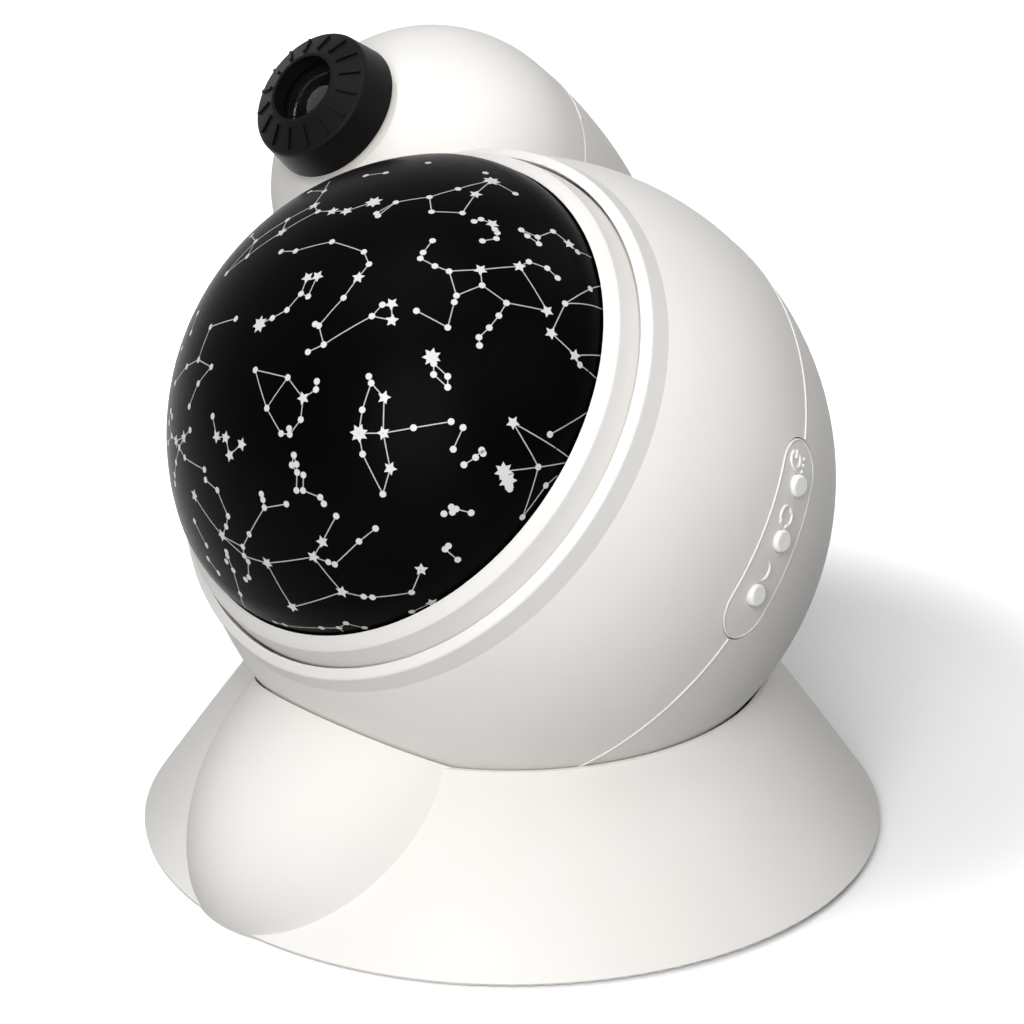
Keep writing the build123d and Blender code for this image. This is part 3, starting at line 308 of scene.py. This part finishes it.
# Each figure: stars at (degrees to the side, degrees up, kind) from the middle of the dome, and the
# chains of lines that join them. A kind is d for a dot, s for a star, b for a bright star, n for
# none. The figures called far are on the side away from the buttons.
figures = {
    "long_river": (
        [(-24.5, 31, "d"), (-17, 31, "d"), (-13.5, 26, "s"), (-10, 24.5, "d"), (-6, 25.5, "s"),
         (-2.5, 26.5, "s"), (1, 31, "b"), (-17.5, 21, "d"), (-15, 17.5, "s"), (-23, 14.5, "d"),
         (-21, 10.5, "d"), (-26, 6, "d"), (-30, 16.5, "d"), (-22.5, 35.5, "n")],
        [[0, 1, 2, 3, 4, 5, 6], [1, 13], [2, 7, 9, 11], [3, 8, 10, 11], [7, 8], [12, 9, 10]]),
    "pair_top": (
        [(-11.5, 38.5, "d"), (-7.5, 41, "d")],
        [[0, 1]]),
    "lone_top": (
        [(-4, 49.5, "d")],
        []),
    "hunting_dog": (
        [(4.5, 28.5, "d"), (5.5, 28, "d"), (5.5, 33, "d"), (10, 38, "d"), (12, 44, "d"),
         (13.5, 52, "b"), (20.5, 52, "d"), (14, 34.5, "d"), (19, 38, "d"), (16, 45, "s"),
         (9.5, 54, "d")],
        [[0, 2], [1, 2, 3, 4, 5, 6], [3, 7, 8, 9, 5]]),
    "shepherd": (
        [(-9.5, 13, "d"), (-5.5, 14, "d"), (1.5, 18.5, "d"), (10, 19, "d"), (13, 17, "d"),
         (13, 13.5, "s"), (13, 8.5, "d"), (10.5, 1.5, "d"), (11.5, 1.5, "d"), (14.5, -1.5, "d"),
         (12, -4, "d"), (20.5, 7.5, "d"), (21, 10.5, "d"), (22.5, 11.5, "s"), (24.5, 8.5, "s")],
        [[0, 1, 2, 3, 4, 5, 6, 8, 9, 10], [9, 11, 12, 13, 14, 11]]),
    "twins": (
        [(2.5, 9.5, "s"), (3.5, 6, "d"), (2.5, 2, "d"), (0, -0.5, "d"), (-2.5, -2.5, "b"),
         (4.5, 10.5, "s"), (5.5, 6, "d")],
        [[0, 1, 2, 3, 4], [5, 6, 1]]),
    "left_hook": (
        [(-10.5, -3, "d"), (-19, -6, "d"), (-19, -13, "d"), (-24.5, -15, "d"), (-31, -19, "d"),
         (-12.5, -13.5, "d"), (-16, -17.5, "d"), (-18, -22.5, "d")],
        [[0, 1, 2, 3, 4], [2, 5, 6, 7]]),
    "left_edge": (
        [(-31.5, -3.5, "d"), (-30, -8, "d")],
        [[0, 1]]),
    "left_edge_low": (
        [(-34, -11.5, "d")],
        []),
    "kite": (
        [(1.5, -11, "d"), (10, -10, "d"), (15, -12.5, "s"), (16, -16.5, "d"), (14, -19, "d"),
         (14.5, -20, "d"), (12.5, -20.5, "d"), (7.5, -17, "d"), (17, -10, "d"), (16.5, -8.5, "d")],
        [[0, 1, 2, 3, 5, 6, 7, 0], [7, 1], [2, 8, 9]]),
    "zigzag": (
        [(-7.5, -22.5, "d"), (-5, -26, "s"), (-2, -25.5, "s"), (0, -28.5, "s"), (3, -25.5, "s")],
        [[0, 1, 2, 3, 4]]),
    "left_limb": (
        [(-31, -25, "d"), (-28, -30, "d"), (-32.5, -32, "d"), (-24, -30.5, "s"), (-19, -29, "s"),
         (-16, -27, "d"), (-21.5, -31.5, "d"), (-18, -33, "d"), (-8.5, -33.5, "d"),
         (-24, -35, "d"), (-26, -38, "d"), (-26.5, -40, "d"), (-29, -26, "d"), (-32, -27.5, "d")],
        [[0, 12], [0, 13, 1, 2], [1, 3, 6, 4, 5], [3, 4], [6, 7, 8], [6, 9, 10, 11]]),
    "serpent": (
        [(-8, -35.5, "d"), (-3.5, -36.5, "d"), (0, -41, "d"), (-1, -43.5, "d"), (-3, -46, "s"),
         (-13.5, -40, "s"), (4, -46.5, "d"), (6.5, -43, "d"), (11, -36, "d"), (10.5, -34.5, "d"),
         (10, -33.5, "d"), (16.5, -33.5, "d"), (4, -48.5, "d"), (5, -49.5, "d"), (4, -53.5, "d"),
         (2.5, -54.5, "d"), (11, -48, "s"), (23.5, -42.5, "s"), (25.5, -38.5, "s"),
         (28, -32, "d"), (27, -42.5, "d"), (28.5, -42.5, "d"), (33.5, -35.5, "d"),
         (36.5, -31.5, "d"), (30, -48.5, "s"), (16, -57, "s"), (35, -48, "d"), (37, -47.5, "d"),
         (45.5, -43.5, "d"), (47, -37, "s")],
        [[0, 1, 2, 3, 4], [5, 4, 6, 7, 8, 9, 10], [8, 11], [4, 12, 16, 17, 18, 19],
         [6, 12, 13, 14, 15], [17, 20, 21, 22, 23], [17, 24], [16, 25, 24, 26, 27, 28, 29]]),
    "left_pair": (
        [(-15.5, -46, "d"), (-11.5, -50.5, "d")],
        [[0, 1]]),
    "low_edge": (
        [(-13, -54, "d"), (-9.5, -56.5, "d")],
        [[0, 1]]),
    "low_left": (
        [(-2.5, -49.5, "d"), (-2.5, -50.5, "d"), (-3.5, -52, "d"), (-1.5, -53.5, "d"),
         (-2, -59.5, "d"), (-5, -65.5, "n")],
        [[0, 1, 3, 4, 5]]),
    "ladder": (
        [(6, -65.5, "d"), (9.5, -65, "d"), (22, -61.5, "d"), (27, -60, "d"), (29.5, -57.5, "d"),
         (33.5, -58.5, "d"), (27.5, -63.5, "n")],
        [[0, 1, 2, 3, 4, 5], [3, 6]]),
    "low_pair": (
        [(45.5, -50, "d"), (50, -46, "s")],
        [[0, 1]]),
    "little_cup": (
        [(16.5, -23.5, "d"), (16.5, -25.5, "d"), (17.5, -25, "d"), (18, -26.5, "d"),
         (19.5, -26.5, "d"), (20, -29.5, "d"), (18.5, -30, "d"), (24, -29.5, "d"),
         (25, -30.5, "d")],
        [[0, 1, 3, 6, 5, 4], [0, 2, 3], [5, 7, 8]]),
    "archer": (
        [(26, -3.5, "d"), (27, -4.5, "d"), (30.5, -6, "s"), (33, -12.5, "s"), (36.5, -18.5, "s"),
         (36.5, -24, "d"), (30.5, -18, "d"), (28.5, -14.5, "b"), (27.5, -10, "d"), (38, -9, "d"),
         (44, -4.5, "d")],
        [[0, 1, 2, 3, 4, 5, 6, 7, 8, 1], [7, 3, 9, 10]]),
    "arrow": (
        [(46.5, -4.5, "d"), (46.5, -9.5, "d")],
        [[0, 1]]),
    "little_bar": (
        [(49.5, -11.5, "d"), (51, -9, "d"), (51.5, -7, "d"), (52, -7.5, "d")],
        [[0, 1, 2]]),
    "bright_mark": (
        [(35, 5.5, "b"), (36, 4.5, "d"), (37, 2.5, "d"), (40.5, 1.5, "d"), (39.5, 3.5, "d")],
        [[0, 1, 2, 3, 4, 1]]),
    "crown": (
        [(22.5, 37.5, "d"), (23, 39, "d"), (25.5, 39.5, "s"), (27, 38.5, "d"), (28, 38, "d"),
         (29, 36.5, "d"), (27.5, 34, "d")],
        [[0, 1, 2, 3, 4, 5, 6]]),
    "right_hand": (
        [(30.5, 42.5, "d"), (32.5, 42, "d"), (35.5, 42, "d"), (34, 43.5, "d"), (34.5, 48, "d"),
         (39, 48, "s"), (41.5, 48, "d"), (43.5, 52, "n")],
        [[0, 1, 2, 3, 4, 5, 6, 7], [0, 3]]),
    "great_bear": (
        [(20, 28, "d"), (20.5, 24.5, "d"), (21, 23, "d"), (24.5, 23, "d"), (27.5, 23.5, "d"),
         (32, 27.5, "s"), (37, 33.5, "s"), (37.5, 36, "d"), (41, 37.5, "d"), (44, 37, "d"),
         (32, 19.5, "d"), (34.5, 24.5, "d"), (32.5, 18, "d"), (34.5, 12.5, "d"),
         (27.5, 12.5, "d"), (40.5, 24, "d"), (47.5, 28, "s"), (41, 20.5, "d"), (41, 17, "d"),
         (40.5, 14, "d"), (41.5, 12.5, "d")],
        [[0, 1, 2, 3, 4, 5, 6, 7, 8, 9], [4, 10, 11, 5], [10, 12, 13, 14], [11, 15, 16, 6],
         [15, 17, 18, 19, 20]]),
    "right_arm": (
        [(51, 24, "s"), (49, 32.5, "d"), (50, 41.5, "d"), (50.5, 46.5, "n"), (55, 40.5, "n"),
         (57.5, 23, "s"), (59.5, 22, "d"), (64.5, 23, "n"), (62, 29, "n")],
        [[0, 1, 2, 3], [1, 4], [0, 5, 6, 7], [5, 8]]),
    "spread_wing": (
        [(54.5, 1.5, "s"), (63, -4.5, "d"), (64.5, -17, "d"), (66.5, -7.5, "d"), (68, -4, "n"),
         (68.5, 1.5, "n"), (57, -9, "b"), (58.5, -10.5, "b"), (59.5, -12, "d"), (68.5, 0, "n")],
        [[0, 1, 2, 3, 4], [0, 5], [6, 1, 9], [7, 8]]),
    "right_bit": (
        [(62, 3.5, "d"), (67, 14, "n")],
        [[0, 1]]),
    "cluster": (
        [(49, -23, "d"), (50, -21, "d"), (50.5, -22, "d"), (51, -21, "d"), (54, -20.5, "d")],
        [[1, 3, 4]]),
    "small_fish": (
        [(51.5, -29.5, "d"), (51, -30.5, "d"), (54, -32, "d")],
        [[0, 1, 2]]),
    "far_swan": (
        [(-40, 26, "s"), (-45, 18, "d"), (-50, 9, "d"), (-55, -1, "d"), (-58, -10, "d"),
         (-39, 9, "d"), (-53, 24, "d")],
        [[0, 1, 2, 3, 4], [5, 1, 6]]),
    "far_queen": (
        [(-42, -14, "d"), (-47, -19, "s"), (-44, -25, "d"), (-50, -30, "s"), (-47, -36, "d")],
        [[0, 1, 2, 3, 4]]),
    "far_kite": (
        [(-38, 38, "d"), (-43, 42, "d"), (-40, 48, "s"), (-33, 46, "d")],
        [[0, 1, 2, 3, 0]]),
    "far_lyre": (
        [(-39, -3, "b"), (-42, -6, "d"), (-46, -5, "d"), (-44, -1, "d")],
        [[0, 1, 2, 3, 0]]),
    "far_crown": (
        [(-56, -17, "d"), (-59, -20, "d"), (-60, -24, "s"), (-57, -28, "d")],
        [[0, 1, 2, 3]]),
    "far_bar": (
        [(-38, -42, "s"), (-42, -45, "d"), (-38, -49, "d")],
        [[0, 1, 2]]),
    "far_tail": (
        [(-59, 7, "d"), (-62, 13, "d"), (-59, 19, "s")],
        [[0, 1, 2]]),
    "far_top": (
        [(-28, 50, "d"), (-24, 55, "d"), (-30, 56, "s")],
        [[0, 1, 2]]),
}


def surface_of(node):
    """The outer surface of a CAD node, to lay thin pieces on."""
    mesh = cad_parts[node].data
    return BVHTree.FromPolygons([v.co for v in mesh.vertices], [p.vertices for p in mesh.polygons])


def chart_direction(across, up):
    """From the chart's centre to a place on it, given in degrees from its middle."""
    off = hypot(across, up)
    if off == 0:
        return dome_forward.copy()
    sideways = (dome_side * across + dome_up * up) / off
    return dome_forward * cos(radians(off)) + sideways * sin(radians(off))


dome_surface = surface_of("star_dome")


def on_dome(way, lift):
    """The point over the dome's skin in a direction from the chart's centre."""
    point = dome_surface.ray_cast(chart_centre + way * outside, -way)[0]
    return point + way * lift


def around(centre, radius, angle):
    """A direction at a distance and an angle round a star's own, on the dome's skin."""
    across = centre.cross(dome_up).normalized()
    up = across.cross(centre)
    reach = radius / chart_radius
    return (centre + (across * cos(angle) + up * sin(angle)) * reach).normalized()


def loft(shape, rows):
    """Add a closed bar to a shape, from its cross-sections as equal rows of points."""
    vertices, faces = shape
    base, ring = len(vertices), len(rows[0])
    last = base + (len(rows) - 1) * ring
    for row in rows:
        vertices.extend(row)
    for start in range(base, last, ring):
        for k in range(ring):
            j = (k + 1) % ring
            faces.append([start + k, start + j, start + ring + j, start + ring + k])
    faces.append([base + k for k in range(ring)])
    faces.append([last + k for k in range(ring)])


def make_piece(name, shape, material, body):
    """A mesh piece that rides on a body and takes its finish from a slot."""
    vertices, faces = shape
    mesh = bpy.data.meshes.new(name)
    mesh.from_pydata(vertices, [], faces)
    outwards = bmesh.new()
    outwards.from_mesh(mesh)
    bmesh.ops.recalc_face_normals(outwards, faces=outwards.faces)
    outwards.to_mesh(mesh)
    outwards.free()
    mesh.materials.append(material)
    piece = bpy.data.objects.new(name, mesh)
    scene.collection.objects.link(piece)
    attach(piece, body)


def window_outline(centre, kind, twist):
    """The corners of a star's window as directions."""
    if kind == "d":
        return [around(centre, dot_radius, 2 * pi * k / dot_corners) for k in range(dot_corners)]
    points, tip, notch = star_reach[kind]
    return [around(centre, notch if k % 2 else tip, pi * k / points + twist)
            for k in range(2 * points)]


def line_rows(first, last):
    """Cross-sections of a line between two stars, as far as the dome shows."""
    steps = max(1, round(degrees(first.angle(last)) / line_step))
    run = [first.slerp(last, k / steps) for k in range(steps + 1)]
    run = [way for way in run if (on_dome(way, 0) - ball_centre).dot(dome_forward) > chart_edge]
    rows = []
    for way in run:
        side = way.cross(last - first).normalized() * (line_width / 2 / chart_radius)
        left, right = (way + side).normalized(), (way - side).normalized()
        rows.append([on_dome(left, line_height), on_dome(right, line_height),
                     on_dome(right, -window_root), on_dome(left, -window_root)])
    return rows


star_shape, line_shape = ([], []), ([], [])
star_count = 0
for stars, chains in figures.values():
    places = [chart_direction(across, up) for across, up, kind in stars]
    for place, (across, up, kind) in zip(places, stars):
        star_count += 1
        if kind != "n":
            outline = window_outline(place, kind, star_count * star_twist)
            loft(star_shape, [[on_dome(way, lift) for way in outline]
                              for lift in (star_height, -window_root)])
    for chain in chains:
        for first, last in zip(chain, chain[1:]):
            rows = line_rows(places[first], places[last])
            if len(rows) > 1:
                loft(line_shape, rows)

# An even pale grey, a little duller along the fine lines, where less of the white shows.
window_white = moulded("polycarbonate, clear window over white", "#D4D4D4", "#CCCCCC", patch=25,
                       rough=0.45, smooth=0.35, grain=0.8, depth=0.002)
make_piece("chart_stars", star_shape, window_white, "dome")
line_white = moulded("polycarbonate, fine clear line over white", "#B4B4B4", "#ACACAC", patch=25,
                     rough=0.45, smooth=0.35, grain=0.8, depth=0.002)
make_piece("chart_lines", line_shape, line_white, "dome")

# ---- Drive and lamp under the dome ---------------------------------------------------------------
# An acetal gear ring under the dome is turned by a pinion on a small motor. A grey deck carries it,
# with a bright post for the star lamp, a warm white LED on a green glass-epoxy board.
dress(natural_acetal, "drive_gear", "pinion")
dress(grey_abs, "deck")
dress(zinc, "drive_motor", "lamp_post", "deck_screws")

# A glossy dark green over the weave of the glass cloth.
board_green = moulded("glass-epoxy board, green resist", "#1B5A33", "#16502C", patch=3,
                      rough=0.4, smooth=0.3, grain=0.6, depth=0.01)
dress(board_green, "star_led_board")

# A clear dome over a yellow, floury fill.
phosphor = moulded("LED phosphor under silicone", "#E9DE7C", "#E2D36B", patch=0.8,
                   rough=0.35, smooth=0.25, grain=0.3, depth=0.01)
dress(phosphor, "star_led")

# ---- Boards, battery and charging inlet ----------------------------------------------------------
# Green boards for control, charging and the three switches, and a steel cell in blue shrink sleeve
# that snaps into a smooth black ABS holder. The inlet is a folded, plated steel shell.
dress(board_green, "main_board", "usb_board", "switch_board")

# Black with a soft shine that follows each edge.
smooth_black_abs = moulded("ABS, moulded, smooth black", "#111111", "#0D0D0D", patch=15,
                           rough=0.45, smooth=0.35, grain=0.6, depth=0.006, gloss=0.2)
dress(smooth_black_abs, "battery_holder")

# A blue, nearly glossy film drawn tight.
cell_sleeve = moulded("PVC shrink sleeve, blue", "#2E6AA6", "#28609A", patch=6,
                      rough=0.35, smooth=0.28, grain=0.6, depth=0.005)
dress(cell_sleeve, "battery_cell")

# A dull, slightly brownish black.
switch_nylon = moulded("nylon, moulded black", "#202020", "#191919", patch=3,
                       rough=0.55, smooth=0.45, grain=0.4, depth=0.01)
dress(switch_nylon, "tact_switches")
dress(zinc, "usb_socket", "board_screws", "switch_screws")

# ---- Button panel and buttons --------------------------------------------------------------------
# A separate panel in satin white ABS, let into both shells, with three round caps that slide in it.
# Panel and caps are moulded, the caps in a polished mould.

# A satin white, just smoother than the shells.
white_panel = moulded("ABS, moulded, satin white", housing_white, housing_shade, patch=30,
                      rough=0.56, smooth=0.45, grain=0.45, depth=0.006, gloss=0.2)
dress(white_panel, "button_panel")

# A brighter and glossier white than what surrounds it.
white_cap = moulded("ABS, polished white", "#F4F3F1", "#EFEDEA", patch=12,
                    rough=0.3, smooth=0.22, grain=0.6, depth=0.004, gloss=0.35)
dress(white_cap, "light_button", "turn_button", "moon_button")

# ---- Signs on the button panel -------------------------------------------------------------------
# Low rounded ridges, moulded with the panel in the same white ABS, one sign over each button: a
# power sign and three dots for the star lamp, two chasing arrows for turning, a crescent for the
# moon.
ball_radius = 67.8            # in millimetres, as all sizes of this section and the next
seam_level = -6.2             # of the seam and the panel's middle, along the dome's axis
panel_turn = radians(7.75)
button_pitch = 11.85
ridge_width, ridge_height, ridge_root = 0.7, 0.36, 0.1
ridge_sides = 6


def on_panel(along, forward, lift):
    """A point over the panel's skin, along the panel from its middle and forward of the seam."""
    level = seam_level + forward
    reach = sqrt(ball_radius ** 2 - level ** 2)
    turn = panel_turn + along / reach
    out = (dome_side * cos(turn) + dome_up * sin(turn)) * reach + dome_forward * level
    return ball_centre + out * ((ball_radius + lift) / ball_radius / 1000)


def half_round(width, height, root):
    """A ridge's section as (sideways, up), with its flat root sunk in the skin."""
    arch = [(cos(pi * k / ridge_sides) * width / 2, sin(pi * k / ridge_sides) * height)
            for k in range(ridge_sides + 1)]
    return arch + [(-width / 2, -root), (width / 2, -root)]


def ridge(shape, path):
    """Add a rounded ridge on the panel along a path of (along, forward, width, height)."""
    rows = []
    for index, (along, forward, width, height) in enumerate(path):
        before, after = path[max(index - 1, 0)], path[min(index + 1, len(path) - 1)]
        run = Vector((after[0] - before[0], after[1] - before[1])).normalized()
        rows.append([on_panel(along - run.y * side, forward + run.x * side, lift)
                     for side, lift in half_round(width, height, ridge_root)])
    loft(shape, rows)


def arc(along, forward, radius, start, end, steps=20):
    """Points round a circle on the panel, by angles from the panel's upward direction."""
    turns = [radians(start + (end - start) * k / steps) for k in range(steps + 1)]
    return [(along + radius * cos(turn), forward + radius * sin(turn)) for turn in turns]


def even(points):
    """The points with the plain ridge's section."""
    return [(along, forward, ridge_width, ridge_height) for along, forward in points]


signs = ([], [])
power_along, power_forward, power_radius = button_pitch + 4.75, 2.3, 1.75
ridge(signs, even(arc(power_along, power_forward, power_radius, 38, 322)))
bar_foot, bar_top = power_along + 0.2, power_along + power_radius + 0.3
ridge(signs, even([(bar_foot, power_forward), (bar_top, power_forward)]))

dot_size, dot_spacing, dot_forward = 0.9, 1.4, -0.9
dot_steps = 8
for step in (-dot_spacing, 0.0, dot_spacing):
    dot = []
    for k in range(dot_steps + 1):
        swell = sqrt(max(0.0, 1 - (2 * k / dot_steps - 1) ** 2))
        dot.append((power_along + step + dot_size * (k / dot_steps - 0.5), dot_forward,
                    max(0.02, dot_size * swell), max(0.01, ridge_height * swell)))
    ridge(signs, dot)

arrows = (4.95, 0.85, 2.05)                    # along, forward and radius
shaft_sweep, head_start, head_end, head_width, head_steps = 125, 118, 155, 1.5, 4
for start in (20, 200):
    ridge(signs, even(arc(*arrows, start, start + shaft_sweep)))
    head = arc(*arrows, start + head_start, start + head_end, head_steps)
    ridge(signs, [(along, forward, head_width * (1 - k / head_steps) + 0.05,
                   ridge_height * (1 - 0.5 * k / head_steps))
                  for k, (along, forward) in enumerate(head)])

crescent_steps = 24
crescent = arc(4.9 - button_pitch, 1.35, 2.1, -13, -167, crescent_steps)
ridge(signs, [(along, forward, 0.12 + 0.85 * sin(pi * k / crescent_steps),
               0.1 + 0.25 * sin(pi * k / crescent_steps))
              for k, (along, forward) in enumerate(crescent)])
make_piece("button_signs", signs, white_panel, "ball")

# ---- Raised edges --------------------------------------------------------------------------------
# A fine bead round the edge of the button panel, and a lip on the rear shell's edge that stands
# proud behind the groove between the shells. Both catch the light as a thin bright line.
bead_inset, bead_width = 6.35, 0.42            # from the panel's middle line to the bead's
bead_front, bead_rear = 0.22, 0.1              # the bead's height towards the dome and behind
panel_straight = 14.7                          # half the panel's straight sides
side_steps, end_steps = 16, 24
side_run = [(panel_straight * (2 * k / side_steps - 1), -bead_inset) for k in range(side_steps)]
end_run = [(panel_straight + bead_inset * sin(pi * k / end_steps),
            -bead_inset * cos(pi * k / end_steps)) for k in range(end_steps)]
half_rim = side_run + end_run
rim = half_rim + [(-along, -forward) for along, forward in half_rim]
bead = []
for along, forward in rim + rim[:1]:
    reach = sqrt(ball_radius ** 2 - (seam_level + forward) ** 2)
    height = bead_rear + (bead_front - bead_rear) * (1 + forward / bead_inset) / 2
    bead.append((reach * asin(along / reach), forward, bead_width, height))
panel_bead = ([], [])
ridge(panel_bead, bead)
make_piece("panel_bead", panel_bead, white_panel, "ball")

lip_width, lip_height, lip_root = 0.36, 0.22, 0.12
lip_back = 0.42                                # behind the seam
lip_foot = 0.0335                              # at rest, the lip under this goes into the cup
lip_steps = 240
panel_half_turn = asin(21.9 / ball_radius)
pod_step = 0.005                               # a longer step than this is from the ball to the pod
clear_air = 0.14
lip_centre = ball_centre + dome_forward * ((seam_level - lip_back) / 1000)
rear_surface = surface_of("rear_shell")
lip_runs = [[]]
for k in range(lip_steps + 1):
    turn = panel_turn + panel_half_turn + (2 * pi - 2 * panel_half_turn) * k / lip_steps
    out = dome_side * cos(turn) + dome_up * sin(turn)
    place, outward = rear_surface.ray_cast(lip_centre + out * clear_air, -out)[:2]
    if lip_runs[-1] and (place - lip_runs[-1][-1][0]).length > pod_step:
        lip_runs.append([])
    if place.z > lip_foot:
        lip_runs[-1].append((place, outward))
seam_lip = ([], [])
for run in lip_runs:
    if len(run) > 3:
        loft(seam_lip, [[place + dome_forward * (side / 1000) + outward * (lift / 1000)
                         for side, lift in half_round(lip_width, lip_height, lip_root)]
                        for place, outward in run])
make_piece("seam_lip", seam_lip, white_abs, "ball")

# ---- Moon projector ------------------------------------------------------------------------------
# A ribbed focus ring in textured black ABS, which screws the lens cell in and out of its barrel.
# Barrel, cell and slide frame are smooth black ABS, round clear lenses, a dark film and an LED.

# A dull black on which the ribs show by their edges.
black_abs = moulded("ABS, moulded, textured black", "#101010", "#0D0D0D", patch=15,
                    rough=0.48, smooth=0.38, grain=0.5, depth=0.012, gloss=0.06)
dress(black_abs, "focus_ring")
dress(smooth_black_abs, "lens_barrel", "lens_cell", "slide_frame")

# Nearly black, and smooth enough to shine when the light falls along it.
slide_film = moulded("photographic film, dense grey", "#0E0E10", "#121214", patch=6,
                     rough=0.3, smooth=0.22, grain=0.8, depth=0.0005)
dress(slide_film, "moon_slide")
dress(board_green, "moon_led_board")
dress(phosphor, "moon_led")
dress(zinc, "led_screws")

# Clear with a faint cool tint, and a polish that is not quite optical.
clear_acrylic = bpy.data.materials.new("acrylic, moulded clear lens")
clear_acrylic.use_nodes = True
surface = clear_acrylic.node_tree.nodes["Principled BSDF"]
surface.inputs["Base Color"].default_value = linear("#F4F7F8")
surface.inputs["Roughness"].default_value = 0.03
surface.inputs["IOR"].default_value = 1.49
surface.inputs["Transmission Weight"].default_value = 1.0
dress(clear_acrylic, "objective_lens", "condenser_lens")
